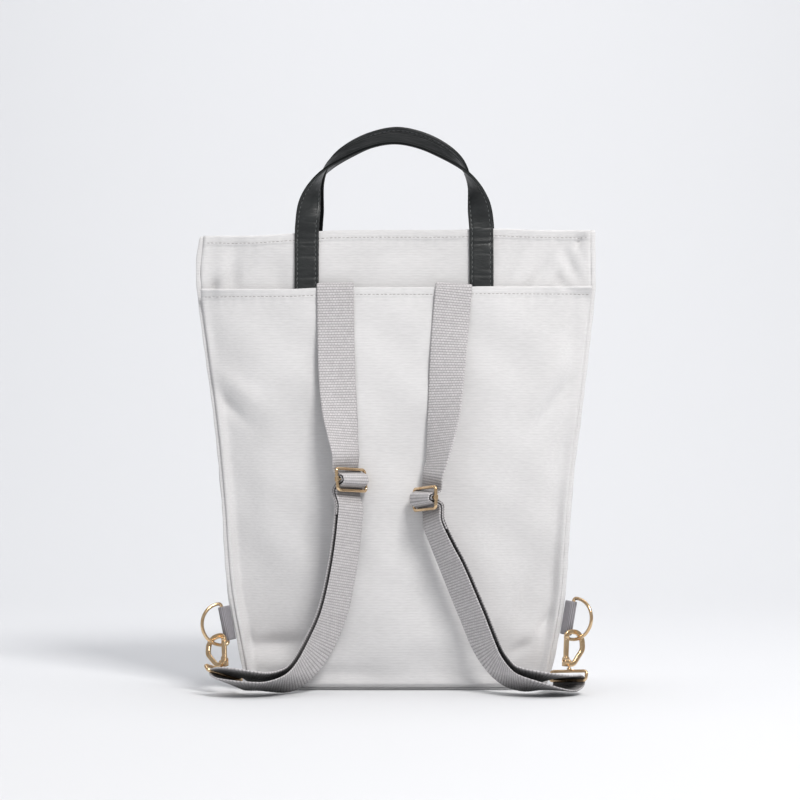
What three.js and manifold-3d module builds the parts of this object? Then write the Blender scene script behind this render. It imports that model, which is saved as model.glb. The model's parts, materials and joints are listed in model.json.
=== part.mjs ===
import * as THREE from 'three';
import { mergeVertices } from 'three/addons/utils/BufferGeometryUtils.js';
import Module from 'manifold-3d';

const wasm = await Module();
wasm.setup();

// Canvas bag
const BAG_HEIGHT = 458;
const HALF_WIDTH = 202;
const BASE_DEPTH = 104;
const BELLY = 12;
const CLOTH = 1.8;
const HEM_CLOTH = 3.4;
const HEM_HEIGHT = 9;
const BASE_CLOTH = 2.4;
const BASE_ROUND = 12;
const GUSSET_PUFF = 9;
const SEAM_WIDTH = 5;
const SEAM_THICKNESS = 3;

// Pocket on the strap side
const POCKET_HEIGHT = 400;
const POCKET_GAPE = 9.8;
const POCKET_HEM = 2.6;

// Leather handles
const HANDLE_WIDTH = 24.5;
const HANDLE_THICKNESS = 3.2;
const HANDLE_RISE = 95;
const HANDLE_TUCK = 12;
const HANDLE_LIFT = 7;
const HANDLE_LEFT = -91.5;
const HANDLE_RIGHT = 85.5;
const HANDLE_TWIST = 123;
const HANDLE_SHIFT = 2.5;
const ARCH_STEPS = 32;

// Webbing
const STRAP_WIDTH = 37;
const WEBBING = 1.8;
const STRAP_TUCK = 20;
const STRAP_STEP = 14;
const TAIL_LENGTH = 36;
const FOLD_RADIUS = 6.6;
const LOOP_WIDTH = 34;
const LOOP_REACH = 8;

// Metal fittings
const SLIDER_WIRE = 3.2;
const SLIDER_HEIGHT = 25;
const SLIDER_BAR = 3;
const RING_WIRE = 3.4;
const RING_RADIUS = 20.5;
const RING_STRAIGHT = 4;
const HOOK_HEIGHT = 37;
const HOOK_WIDTH = 19;
const HOOK_WIRE = 4.2;
const GATE_WIDTH = 4.4;
const GATE_DEPTH = 3.2;
const CHEEK = 1.2;
const PIN_DIAMETER = 2;
const RIVET_HEAD = 4.6;
const EYE_WIRE = 3.2;
const EYE_HEIGHT = 13;
const EYE_DROP = 2;

// Clearances: between pieces that touch, at the sides of a strap in a fitting, behind a slider's
// wires, and between turned layers
const GAP = 0.35;
const SIDE_PLAY = 1;
const SLIDER_PLAY = 2.4;
const TWIST_PLAY = 0.8;

// How curves run: the share of the bottom round that the walls follow, the powers that flatten the
// belly across and lower it, where the pocket starts to stand off, the power that keeps its sides shut,
// and how far from a slider its weave is settled, in reaches of its wires
const ROUND_SHARE = 0.6;
const BELLY_FLAT = 2.6;
const BELLY_LOW = 0.62;
const POCKET_OPENS = 0.3;
const POCKET_SHUT = 4;
const WEAVE_START = 0.15;
const WEAVE_END = 2.6;
const RIM_PLAY = 1.5 * GAP;

// Middle lines that follow from the sizes above
const LAYER = WEBBING + GAP + TWIST_PLAY;
const WIRE_REACH = (SLIDER_HEIGHT - SLIDER_WIRE) / 2;
const UNDER_WIRE = SLIDER_WIRE / 2 + GAP + WEBBING / 2 + SLIDER_PLAY;
const BAR_WRAP = SLIDER_BAR / 2 + GAP + WEBBING / 2 + TWIST_PLAY;
const OVER_BAR = BAR_WRAP + LAYER;
const LOOP_WRAP = RING_WIRE / 2 + GAP + WEBBING / 2;
const LOOP_LAYERS = (WEBBING + GAP) / 2;
const EYE_SEAT = FOLD_RADIUS - WEBBING / 2 - GAP - EYE_WIRE / 2;

// Half widths of the bag to its side seams: up is a share of BAG_HEIGHT, the rest of HALF_WIDTH
const OUTLINE = [
  { up: 0, left: 0.742, right: 0.742 },
  { up: 0.03, left: 0.758, right: 0.76 },
  { up: 0.12, left: 0.797, right: 0.802 },
  { up: 0.2, left: 0.832, right: 0.833 },
  { up: 0.29, left: 0.856, right: 0.849 },
  { up: 0.38, left: 0.867, right: 0.863 },
  { up: 0.5, left: 0.891, right: 0.89 },
  { up: 0.6, left: 0.917, right: 0.923 },
  { up: 0.7, left: 0.95, right: 0.952 },
  { up: 0.78, left: 0.975, right: 0.973 },
  { up: 0.87, left: 1.003, right: 0.997 },
  { up: 0.94, left: 1.012, right: 0.998 },
  { up: 1, left: 0.995, right: 0.997 },
];

// Depth of the bag as a share of BASE_DEPTH, and how far the gusset puffs as a share of GUSSET_PUFF
const PROFILE = [
  { up: 0, depth: 1, puff: 0 },
  { up: 0.1, depth: 1.02, puff: 0.9 },
  { up: 0.2, depth: 0.97, puff: 0.7 },
  { up: 0.35, depth: 0.86, puff: 0.6 },
  { up: 0.5, depth: 0.71, puff: 0.4 },
  { up: 0.7, depth: 0.5, puff: -0.5 },
  { up: 0.85, depth: 0.36, puff: -0.8 },
  { up: 1, depth: 0.28, puff: -0.6 },
];

// Height of the top edge as a share of BAG_HEIGHT: across runs from -1 at the left to 1 at the right
const TOP_EDGE = [
  { across: -1, up: 0.99 },
  { across: -0.5, up: 1.004 },
  { across: -0.36, up: 1.009 },
  { across: 0.36, up: 1.011 },
  { across: 0.5, up: 1.014 },
  { across: 1, up: 1.004 },
];

// Dents of the strap side: across and long and wide are shares of HALF_WIDTH, up of BAG_HEIGHT,
// deep of BELLY, and turn is the angle of the dent's long way from level
const DENTS = [
  { across: -0.83, up: 0.615, turn: -40, long: 0.16, wide: 0.05, deep: 0.3 },
  { across: 0.8, up: 0.63, turn: 52, long: 0.14, wide: 0.05, deep: 0.28 },
  { across: -0.56, up: 0.11, turn: 4, long: 0.22, wide: 0.07, deep: 0.42 },
  { across: -0.75, up: 0.1, turn: 60, long: 0.09, wide: 0.035, deep: 0.3 },
  { across: 0.62, up: 0.09, turn: 25, long: 0.12, wide: 0.05, deep: 0.3 },
  { across: 0.74, up: 0.145, turn: 50, long: 0.11, wide: 0.045, deep: 0.28 },
];

// Half the handle arch: across is the share of the way to the other leg, up of HANDLE_RISE and twist
// of HANDLE_TWIST
const ARCH = [
  { across: 0, up: 0.02, twist: 0 },
  { across: 0.006, up: 0.16, twist: 0.02 },
  { across: 0.022, up: 0.36, twist: 0.08 },
  { across: 0.06, up: 0.55, twist: 0.24 },
  { across: 0.135, up: 0.73, twist: 0.55 },
  { across: 0.25, up: 0.87, twist: 0.85 },
  { across: 0.37, up: 0.96, twist: 0.97 },
  { across: 0.5, up: 1, twist: 1 },
];

// Route of each shoulder strap from the pocket mouth to the floor: across is a share of HALF_WIDTH
// towards the strap's own side, up of BAG_HEIGHT, out of STRAP_WIDTH in front of the pocket, and
// roll is how far the ribbon turns about its own length
const STRAP_ROUTES = {
  left: {
    slider: 5,
    rows: [
      { across: 0.309, up: 0.871, out: 0.085, roll: 0 },
      { across: 0.305, up: 0.79, out: 0.1, roll: 2 },
      { across: 0.299, up: 0.7, out: 0.17, roll: 8 },
      { across: 0.286, up: 0.62, out: 0.28, roll: 19 },
      { across: 0.258, up: 0.53, out: 0.5, roll: 44 },
      { across: 0.224, up: 0.461, out: 0.6, roll: 50 },
      { across: 0.228, up: 0.38, out: 0.6, roll: 50 },
      { across: 0.262, up: 0.26, out: 0.62, roll: 48 },
      { across: 0.318, up: 0.158, out: 0.64, roll: 46 },
      { across: 0.402, up: 0.087, out: 0.8, roll: 46 },
      { across: 0.51, up: 0.046, out: 1.05, roll: 54 },
      { across: 0.64, up: 0.034, out: 1.3, roll: 72 },
    ],
  },
  right: {
    slider: 5,
    rows: [
      { across: 0.283, up: 0.871, out: 0.085, roll: 0 },
      { across: 0.266, up: 0.8, out: 0.11, roll: 3 },
      { across: 0.248, up: 0.7, out: 0.24, roll: 16 },
      { across: 0.23, up: 0.597, out: 0.38, roll: 31 },
      { across: 0.192, up: 0.493, out: 0.62, roll: 57 },
      { across: 0.137, up: 0.421, out: 0.68, roll: 60 },
      { across: 0.196, up: 0.34, out: 0.65, roll: 59 },
      { across: 0.268, up: 0.27, out: 0.64, roll: 52 },
      { across: 0.355, up: 0.178, out: 0.66, roll: 50 },
      { across: 0.45, up: 0.085, out: 0.85, roll: 52 },
      { across: 0.56, up: 0.042, out: 1.15, roll: 60 },
      { across: 0.69, up: 0.026, out: 1.4, roll: 76 },
    ],
  },
};

// Centre line of the hook's spine from its foot to its nose: out is a share of HOOK_WIDTH from the
// swivel's axis, up of HOOK_HEIGHT
const HOOK_SPINE = [
  { out: -0.33, up: 0.055 },
  { out: 0.22, up: 0.055 },
  { out: 0.79, up: 0.49 },
  { out: 0.74, up: 0.77 },
  { out: 0.45, up: 0.94 },
  { out: -0.02, up: 0.94 },
  { out: -0.23, up: 0.86 },
  { out: -0.23, up: 0.735 },
];
const NOSE_END = 0.735;
const PIVOT = { out: -0.23, up: 0.195 };
const CATCH = { out: 0.35, up: 0.75 };

// Gap between the two layers of a strap below its slider, as a share of twice FOLD_RADIUS: down runs
// from 0 at the slider to 1 at the hook
const LAYER_GAPS = [
  { down: 0, gap: 0.36 },
  { down: 0.3, gap: 0.4 },
  { down: 0.6, gap: 0.46 },
  { down: 0.82, gap: 0.6 },
  { down: 1, gap: 1 },
];

// How the fittings of each side hang, in degrees, with the ring's height as a share of BAG_HEIGHT
const HANGING = {
  left: { ringUp: 0.146, swing: 28, catchAt: 58, yaw: 35, lean: 5, pitch: 34, eyeYaw: 43, eyeLean: 30 },
  right: { ringUp: 0.158, swing: 38, catchAt: 72, yaw: 30, lean: 3, pitch: 12, eyeYaw: 53, eyeLean: 10 },
};

// Finishes
const CANVAS = { color: 0xdedddb, roughness: 0.9, metalness: 0 };
const WEB = { color: 0xc6c2c2, roughness: 0.85, metalness: 0 };
const LEATHER = { color: 0x2b2e2e, roughness: 0.5, metalness: 0 };
const BRASS = { color: 0xc99a55, roughness: 0.28, metalness: 1 };

const { degToRad, lerp, clamp, smoothstep } = THREE.MathUtils;
const UP = new THREE.Vector3(0, 0, 1);
const AWAY = new THREE.Vector3(0, 1, 0);
const SIDES = [
  { name: 'left', sign: -1 },
  { name: 'right', sign: 1 },
];

// Reads a column of a table at any place between its rows, on a smooth curve
function readTable(rows, place, column, at) {
  const last = rows.length - 1;
  let i = 0;
  while (i < last - 1 && at > rows[i + 1][place]) i += 1;
  const from = rows[i];
  const to = rows[i + 1];
  const span = to[place] - from[place];
  const s = clamp((at - from[place]) / span, 0, 1);
  const slope = (k) => {
    const before = rows[Math.max(k - 1, 0)];
    const after = rows[Math.min(k + 1, last)];
    return (after[column] - before[column]) / (after[place] - before[place]);
  };
  const rise = to[column] - from[column];
  const curve = s * (1 - s) * ((1 - s) * (slope(i) * span - rise) - s * (slope(i + 1) * span - rise));
  return from[column] + s * rise + curve;
}

// Turns points and triangles into a closed geometry whose faces point outwards
function closedGeometry(points, triangles) {
  let volume = 0;
  for (const [a, b, c] of triangles) {
    volume += points[a].dot(points[b].clone().cross(points[c]));
  }
  const order = volume < 0 ? triangles.map(([a, b, c]) => [a, c, b]) : triangles;
  const geometry = new THREE.BufferGeometry();
  geometry.setAttribute('position', new THREE.Float32BufferAttribute(points.flatMap((p) => p.toArray()), 3));
  geometry.setIndex(order.flat());
  geometry.computeVertexNormals();
  return geometry;
}

// Joins rings of points, each with as many points, into a tube: closed on itself, or with flat ends
function skinRings(rings, isLoop) {
  const points = rings.flat();
  const sides = rings[0].length;
  const triangles = [];
  const spans = isLoop ? rings.length : rings.length - 1;
  for (let i = 0; i < spans; i += 1) {
    const here = i * sides;
    const next = ((i + 1) % rings.length) * sides;
    for (let k = 0; k < sides; k += 1) {
      const after = (k + 1) % sides;
      triangles.push([here + k, here + after, next + after], [here + k, next + after, next + k]);
    }
  }
  if (!isLoop) {
    const end = (rings.length - 1) * sides;
    for (let k = 1; k < sides - 1; k += 1) {
      triangles.push([0, k + 1, k], [end, end + k, end + k + 1]);
    }
  }
  return closedGeometry(points, triangles);
}

// A cloth wall: a grid of points on its middle surface, given a thickness to both sides
function sheet(across, along, pointAt, thicknessAt) {
  const step = 0.001;
  const faces = [[], []];
  for (const v of along) {
    for (const u of across) {
      const alongU = pointAt(u + step, v).sub(pointAt(u - step, v));
      const alongV = pointAt(u, v + step).sub(pointAt(u, v - step));
      const normal = alongU.cross(alongV).normalize();
      const half = thicknessAt(v) / 2;
      faces[0].push(pointAt(u, v).addScaledVector(normal, half));
      faces[1].push(pointAt(u, v).addScaledVector(normal, -half));
    }
  }
  const wide = across.length;
  const high = along.length;
  const back = wide * high;
  const triangles = [];
  const quad = (a, b, c, d) => triangles.push([a, b, c], [a, c, d]);
  for (let j = 0; j < high - 1; j += 1) {
    for (let i = 0; i < wide - 1; i += 1) {
      const a = j * wide + i;
      quad(a, a + 1, a + wide + 1, a + wide);
      quad(back + a, back + a + wide, back + a + wide + 1, back + a + 1);
    }
  }
  for (let i = 0; i < wide - 1; i += 1) {
    const top = (high - 1) * wide + i;
    quad(i, back + i, back + i + 1, i + 1);
    quad(top, top + 1, back + top + 1, back + top);
  }
  for (let j = 0; j < high - 1; j += 1) {
    const left = j * wide;
    const right = left + wide - 1;
    quad(left, left + wide, back + left + wide, back + left);
    quad(right, back + right, back + right + wide, right + wide);
  }
  return closedGeometry([...faces[0], ...faces[1]], triangles);
}

// A flat ribbon through stations that each have a centre and a direction across the ribbon
function ribbon(stations, width, thickness) {
  const rings = stations.map((station, i) => {
    const before = stations[Math.max(i - 1, 0)].centre;
    const after = stations[Math.min(i + 1, stations.length - 1)].centre;
    const along = after.clone().sub(before).normalize();
    const face = along.cross(station.across).normalize().multiplyScalar(thickness / 2);
    const side = station.across.clone().multiplyScalar(width / 2);
    const corner = (s, f) => station.centre.clone().addScaledVector(side, s).addScaledVector(face, f);
    return [corner(-1, -1), corner(1, -1), corner(1, 1), corner(-1, 1)];
  });
  return skinRings(rings, false);
}

// A round wire through points that lie in the plane square to facing
function wire(points, diameter, facing, isLoop, sides = 6) {
  const last = points.length - 1;
  const rings = points.map((point, i) => {
    const before = points[isLoop ? (i + last) % points.length : Math.max(i - 1, 0)];
    const after = points[isLoop ? (i + 1) % points.length : Math.min(i + 1, last)];
    const along = after.clone().sub(before).normalize();
    const side = facing.clone().cross(along).normalize();
    return Array.from({ length: sides }, (_, k) => {
      const angle = (2 * Math.PI * (k + 0.5)) / sides;
      return point.clone()
        .addScaledVector(side, (Math.cos(angle) * diameter) / 2)
        .addScaledVector(facing, (Math.sin(angle) * diameter) / 2);
    });
  });
  return skinRings(rings, isLoop);
}

// A rectangle with round corners in the XZ plane, as the centre line of a wire
function roundedLoop(halfWidth, halfHeight, radius, cornerSteps) {
  const corners = [[1, 1, 0], [-1, 1, 90], [-1, -1, 180], [1, -1, 270]];
  return corners.flatMap(([sx, sz, start]) => Array.from({ length: cornerSteps + 1 }, (_, k) => {
    const angle = degToRad(start + (90 * k) / cornerSteps);
    const x = sx * (halfWidth - radius) + radius * Math.cos(angle);
    const z = sz * (halfHeight - radius) + radius * Math.sin(angle);
    return new THREE.Vector3(x, 0, z);
  }));
}

// Turns a closed geometry into a solid that can be joined and cut
function toSolid(geometry) {
  const bare = geometry.clone();
  bare.deleteAttribute('normal');
  bare.deleteAttribute('uv');
  const merged = mergeVertices(bare);
  return new wasm.Manifold(new wasm.Mesh({
    numProp: 3,
    vertProperties: new Float32Array(merged.attributes.position.array),
    triVerts: new Uint32Array(merged.index.array),
  }));
}

function fromSolid(solid) {
  const mesh = solid.getMesh();
  const geometry = new THREE.BufferGeometry();
  geometry.setAttribute('position', new THREE.Float32BufferAttribute(mesh.vertProperties, 3));
  geometry.setIndex(new THREE.BufferAttribute(new Uint32Array(mesh.triVerts), 1));
  geometry.computeVertexNormals();
  return geometry;
}

function evenSteps(from, to, count) {
  return Array.from({ length: count + 1 }, (_, i) => lerp(from, to, i / count));
}

// The bag's form: half width to a side seam, half depth and the round of the bottom edge
function halfWidthAt(sign, up) {
  return HALF_WIDTH * readTable(OUTLINE, 'up', sign < 0 ? 'left' : 'right', up);
}

function halfDepthAt(up) {
  return (BASE_DEPTH / 2) * readTable(PROFILE, 'up', 'depth', up);
}

function roundAt(z) {
  const below = clamp(1 - z / BASE_ROUND, 0, 1);
  return BASE_ROUND * (1 - Math.sqrt(1 - below * below)) * ROUND_SHARE;
}

function bellyAt(across, up) {
  const wide = 1 - Math.abs(clamp(across, -1, 1)) ** BELLY_FLAT;
  const high = Math.sin(Math.PI * clamp(up, 0, 1) ** BELLY_LOW);
  return BELLY * wide * high;
}

function dentAt(across, up) {
  let depth = 0;
  for (const dent of DENTS) {
    const turn = degToRad(dent.turn);
    const x = across - dent.across;
    const z = ((up - dent.up) * BAG_HEIGHT) / HALF_WIDTH;
    const long = (x * Math.cos(turn) + z * Math.sin(turn)) / dent.long;
    const wide = (z * Math.cos(turn) - x * Math.sin(turn)) / dent.wide;
    depth += BELLY * dent.deep * Math.exp(-long * long - wide * wide);
  }
  return depth;
}

// A place on the middle of a main wall: across from -1 to 1 between its seams, up as a share of the height
function wallPlace(across, up, facing) {
  const reach = halfWidthAt(across, up) - SEAM_WIDTH - GAP;
  const edge = lerp(1, readTable(TOP_EDGE, 'across', 'up', across), up ** 3);
  const z = up * BAG_HEIGHT * edge;
  const dent = facing < 0 ? dentAt(across, up) : 0;
  const inset = roundAt(z);
  const depth = halfDepthAt(up) - inset + bellyAt(across, up) - dent;
  return new THREE.Vector3(across * (reach - inset), facing * depth, z);
}

// The same place moved square to the wall, away from the bag
function wallPoint(across, up, facing, outwards) {
  const step = 0.001;
  const wide = wallPlace(across + step, up, facing).sub(wallPlace(across - step, up, facing));
  const high = wallPlace(across, up + step, facing).sub(wallPlace(across, up - step, facing));
  const normal = wide.cross(high).normalize().multiplyScalar(-facing);
  return wallPlace(across, up, facing).addScaledVector(normal, outwards);
}

function hemThickness(up) {
  return up > 1 - HEM_HEIGHT / BAG_HEIGHT ? HEM_CLOTH : CLOTH;
}

const WALL_FOOT = (BASE_CLOTH + GAP + CLOTH / 2) / BAG_HEIGHT;
const POCKET_TOP = POCKET_HEIGHT / BAG_HEIGHT;
const HEM_FOOT = 1 - HEM_HEIGHT / BAG_HEIGHT;
const WALL_ROWS = [
  ...[0, 3, 7, 13].map((z) => WALL_FOOT + z / BAG_HEIGHT),
  ...evenSteps(0.055, POCKET_TOP - HEM_HEIGHT / BAG_HEIGHT, 15),
  POCKET_TOP,
];
const UPPER_ROWS = [...evenSteps(POCKET_TOP, HEM_FOOT, 3).slice(1), HEM_FOOT + 0.002, 1];
const WALL_COLUMNS = evenSteps(-1, 1, 18);

function backPanel() {
  const rows = [...WALL_ROWS, ...UPPER_ROWS];
  return sheet(WALL_COLUMNS, rows, (u, v) => wallPlace(u, v, -1), hemThickness);
}

function frontPanel() {
  const rows = [...WALL_ROWS.filter((_, i) => i < 4 || i % 2 === 0), ...UPPER_ROWS];
  const columns = WALL_COLUMNS.filter((_, i) => i % 2 === 0);
  return sheet(columns, rows, (u, v) => wallPlace(u, v, 1), hemThickness);
}

// How far the pocket stands off the back panel, from wall middle to wall middle
function pocketStand(across, up) {
  const seat = CLOTH + GAP;
  const free = Math.sqrt(Math.max(1 - across ** POCKET_SHUT, 0));
  const open = smoothstep(up, POCKET_OPENS * POCKET_TOP, POCKET_TOP) * free;
  return lerp(seat, Math.max(POCKET_GAPE, seat), open);
}

function pocketPoint(across, up) {
  return wallPoint(across, up, -1, pocketStand(across, up));
}

function pocketPanel() {
  const hem = POCKET_TOP - HEM_HEIGHT / BAG_HEIGHT;
  const rows = WALL_ROWS.slice(1);
  return sheet(WALL_COLUMNS, rows, pocketPoint, (v) => (v > hem + 0.001 ? POCKET_HEM : CLOTH));
}

// The highest place of the pocket's rim under a strap
function rimHeightAt(x) {
  const places = [-STRAP_WIDTH / 2, 0, STRAP_WIDTH / 2].map((side) => x + side);
  const heights = places.map((place) => pocketPoint(place / halfWidthAt(place, POCKET_TOP), POCKET_TOP).z);
  return Math.max(...heights) + SIDE_PLAY;
}

// Finds the pocket's middle surface in front of a place on the strap side
function pocketDepthAt(x, z) {
  const up = clamp(z / BAG_HEIGHT, 0, POCKET_TOP);
  const across = clamp(x / (halfWidthAt(x, up) - SEAM_WIDTH - GAP), -1, 1);
  return -wallPlace(across, up, -1).y + pocketStand(across, up);
}

function gusset(sign) {
  const across = evenSteps(0, 1, 6);
  const top = TOP_EDGE[sign < 0 ? 0 : TOP_EDGE.length - 1].up;
  const rows = WALL_ROWS.filter((_, i) => i < 4 || i % 2 === 0);
  const pointAt = (u, v) => {
    const inset = roundAt(v * BAG_HEIGHT);
    const seamDepth = halfDepthAt(v) - inset - SEAM_THICKNESS / 2 - RIM_PLAY;
    const puff = GUSSET_PUFF * readTable(PROFILE, 'up', 'puff', v) * Math.sin(Math.PI * u) ** 2;
    const x = halfWidthAt(sign, v) - SEAM_WIDTH / 2 - inset + puff;
    return new THREE.Vector3(sign * x, lerp(-seamDepth, seamDepth, u), v * BAG_HEIGHT * lerp(1, top, v ** 3));
  };
  return sheet(across, [...rows, ...UPPER_ROWS], pointAt, () => CLOTH);
}

// A raised side seam, which closes the corner between a main wall and its gusset
function sideSeam(sign, facing) {
  const top = TOP_EDGE[sign < 0 ? 0 : TOP_EDGE.length - 1].up;
  const stations = [...WALL_ROWS, ...UPPER_ROWS].map((up) => {
    const inset = roundAt(up * BAG_HEIGHT);
    const x = halfWidthAt(sign, up) - SEAM_WIDTH / 2 - inset;
    const y = halfDepthAt(up) - inset;
    const centre = new THREE.Vector3(sign * x, facing * y, up * BAG_HEIGHT * lerp(1, top, up ** 3));
    return { centre, across: new THREE.Vector3(1, 0, 0) };
  });
  return ribbon(stations, SEAM_WIDTH, SEAM_THICKNESS);
}

function basePanel() {
  const inset = roundAt(BASE_CLOTH + GAP);
  const halfLength = halfWidthAt(-1, WALL_FOOT) - inset;
  const halfDepth = halfDepthAt(WALL_FOOT) - inset + SEAM_THICKNESS / 2;
  const outline = roundedLoop(halfLength, halfDepth, SEAM_WIDTH, 4);
  const shape = new THREE.Shape(outline.map((p) => new THREE.Vector2(p.x, p.z)));
  return new THREE.ExtrudeGeometry(shape, { depth: BASE_CLOTH, bevelEnabled: false });
}

// Gives each row of a table its place in the table
function numbered(rows) {
  return rows.map((row, place) => ({ ...row, place }));
}

// A handle on one side of the bag: up one leg, over the arch with a twist, and down the other leg
function handle(facing) {
  const rise = HANDLE_RISE + (facing > 0 ? HANDLE_LIFT : 0);
  const shift = facing > 0 ? HANDLE_SHIFT : 0;
  const legs = { left: HANDLE_LEFT + shift, right: HANDLE_RIGHT + shift };
  const stand = (HEM_CLOTH + HANDLE_THICKNESS) / 2 + GAP;
  const legFoot = POCKET_TOP - HANDLE_TUCK / BAG_HEIGHT;
  const legRows = [legFoot, POCKET_TOP, (POCKET_TOP + HEM_FOOT) / 2, HEM_FOOT, 1];
  const legStation = (x, inwards, up) => {
    const across = x / (halfWidthAt(x, up) - SEAM_WIDTH - GAP);
    const centre = wallPoint(across, up, facing, stand).setX(x);
    return { centre, across: new THREE.Vector3(inwards, 0, 0) };
  };
  const foot = legStation(legs.left, 1, 1).centre;
  const rows = numbered(ARCH);
  const archPoint = (from, to, row) => {
    return new THREE.Vector3(lerp(from, to, row.across), foot.y, foot.z + rise * row.up);
  };
  const rising = rows.map((row) => archPoint(legs.left, legs.right, row));
  const falling = rows.slice(0, -1).reverse().map((row) => archPoint(legs.right, legs.left, row));
  const arch = new THREE.CatmullRomCurve3([...rising, ...falling]);
  const archStations = evenSteps(0, 1, ARCH_STEPS).map((share) => {
    const place = (1 - Math.abs(2 * share - 1)) * (rows.length - 1);
    const twist = degToRad(HANDLE_TWIST * readTable(rows, 'place', 'twist', place));
    const inwards = arch.getTangent(share).cross(AWAY).normalize();
    const across = inwards.multiplyScalar(Math.cos(twist)).addScaledVector(AWAY, facing * Math.sin(twist));
    return { centre: arch.getPoint(share), across };
  });
  return ribbon([
    ...legRows.map((up) => legStation(legs.left, 1, up)),
    ...archStations,
    ...[...legRows].reverse().map((up) => legStation(legs.right, -1, up)),
  ], HANDLE_WIDTH, HANDLE_THICKNESS);
}

// A frame from a direction and an upright that is made square to it
function frameOf(origin, xAxis, zAxis) {
  const up = zAxis.clone().normalize();
  const out = xAxis.clone().addScaledVector(up, -xAxis.dot(up)).normalize();
  return new THREE.Matrix4().makeBasis(out, up.clone().cross(out), up).setPosition(origin);
}

// Where the ring, hook and eye of one side hang: each frame has X outwards and Z up its own length
function hangingFrames(side) {
  const hang = HANGING[side.name];
  const seamAt = (up) => {
    return new THREE.Vector3(side.sign * halfWidthAt(side.sign, up), -halfDepthAt(up), up * BAG_HEIGHT);
  };
  const slack = LOOP_WIDTH / 2 / BAG_HEIGHT;
  const seamWay = seamAt(hang.ringUp + slack).sub(seamAt(hang.ringUp - slack));
  const swing = degToRad(hang.swing);
  const outwards = new THREE.Vector3(side.sign * Math.cos(swing), -Math.sin(swing), 0);
  const seat = (GAP + (LOOP_LAYERS + WEBBING / 2) * Math.sin(swing)) / Math.cos(swing);
  const ring = frameOf(seamAt(hang.ringUp).addScaledVector(outwards, LOOP_REACH + seat), outwards, seamWay);

  const catchAngle = degToRad(hang.catchAt);
  const caught = new THREE.Vector3(
    RING_STRAIGHT + RING_RADIUS * Math.cos(catchAngle), 0, -RING_RADIUS * Math.sin(catchAngle),
  ).applyMatrix4(ring);
  const [yaw, lean, pitch] = [hang.yaw, hang.lean, hang.pitch].map(degToRad);
  const hookWay = new THREE.Vector3(
    side.sign * Math.sin(lean) * Math.cos(pitch), Math.sin(pitch), Math.cos(lean) * Math.cos(pitch),
  );
  const spineWay = new THREE.Vector3(side.sign * Math.cos(yaw), Math.sin(yaw), 0);
  const hook = frameOf(new THREE.Vector3(), spineWay, hookWay);
  const catchPlace = new THREE.Vector3(CATCH.out * HOOK_WIDTH, 0, CATCH.up * HOOK_HEIGHT);
  hook.setPosition(caught.clone().sub(catchPlace.applyMatrix4(hook)));

  const ball = new THREE.Vector3(0, 0, -RIVET_HEAD / 2 - GAP).applyMatrix4(hook);
  const eyeYaw = degToRad(hang.eyeYaw);
  const barWay = new THREE.Vector3(-side.sign * Math.sin(eyeYaw), Math.cos(eyeYaw), 0);
  const eyeTurn = new THREE.Matrix4().makeRotationX(side.sign * degToRad(hang.eyeLean));
  const eye = frameOf(ball, barWay, hookWay).multiply(eyeTurn);
  const bar = {
    centre: new THREE.Vector3(0, 0, -EYE_DROP - (EYE_HEIGHT - EYE_WIRE)).applyMatrix4(eye),
    way: new THREE.Vector3().setFromMatrixColumn(eye, 0),
  };
  return { ring, hook, eye, bar };
}

// A shoulder strap's route with its frame at any distance from the pocket mouth
function strapRoute(side, bar) {
  const { rows, slider } = STRAP_ROUTES[side.name];
  const points = rows.map((row, i) => {
    const x = side.sign * row.across * HALF_WIDTH;
    const z = i === 0 ? rimHeightAt(x) : row.up * BAG_HEIGHT;
    return new THREE.Vector3(x, -pocketDepthAt(x, z) - row.out * STRAP_WIDTH, z);
  });
  const down = UP.clone().negate().addScaledVector(bar.way, bar.way.z).normalize();
  const home = bar.way.clone().cross(down).multiplyScalar(side.sign);
  const end = bar.centre.clone().addScaledVector(down, FOLD_RADIUS).addScaledVector(home, EYE_SEAT);
  points.push(end.clone().addScaledVector(home, FOLD_RADIUS * 2), end);
  const curve = new THREE.CatmullRomCurve3(points, false, 'centripetal');
  curve.arcLengthDivisions = 600;
  const lengths = curve.getLengths();
  const length = lengths[lengths.length - 1];
  const spans = points.length - 1;
  const sliderAt = lengths[Math.round((slider / spans) * curve.arcLengthDivisions)];
  const rolls = numbered([...rows, { roll: 90 }, { roll: 90 }]);

  const frameAt = (distance) => {
    const place = curve.getUtoTmapping(0, clamp(distance, 0, length));
    const along = curve.getTangent(place);
    const roll = degToRad(readTable(rolls, 'place', 'roll', place * spans));
    const inwards = along.clone().cross(AWAY).multiplyScalar(-side.sign).normalize();
    const away = AWAY.clone().addScaledVector(along, -AWAY.dot(along)).normalize();
    const across = inwards.multiplyScalar(Math.cos(roll)).addScaledVector(away, Math.sin(roll));
    across.lerp(bar.way, smoothstep(distance, length - 3 * FOLD_RADIUS, length));
    across.addScaledVector(along, -across.dot(along)).normalize();
    const front = along.clone().cross(across).multiplyScalar(-side.sign);
    const beyond = distance - clamp(distance, 0, length);
    const centre = curve.getPoint(place).addScaledVector(along, beyond);
    return { centre, along, across, front };
  };
  return { frameAt, length, sliderAt };
}

// How far the front layer stands off its route where it weaves over the slider's bar
function weave(fromSlider) {
  const away = Math.abs(fromSlider);
  if (away < WIRE_REACH) {
    return lerp(OVER_BAR, -UNDER_WIRE, smoothstep(away, WEAVE_START * WIRE_REACH, WIRE_REACH));
  }
  return -UNDER_WIRE * (1 - smoothstep(away, WIRE_REACH, WEAVE_END * WIRE_REACH));
}

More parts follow.
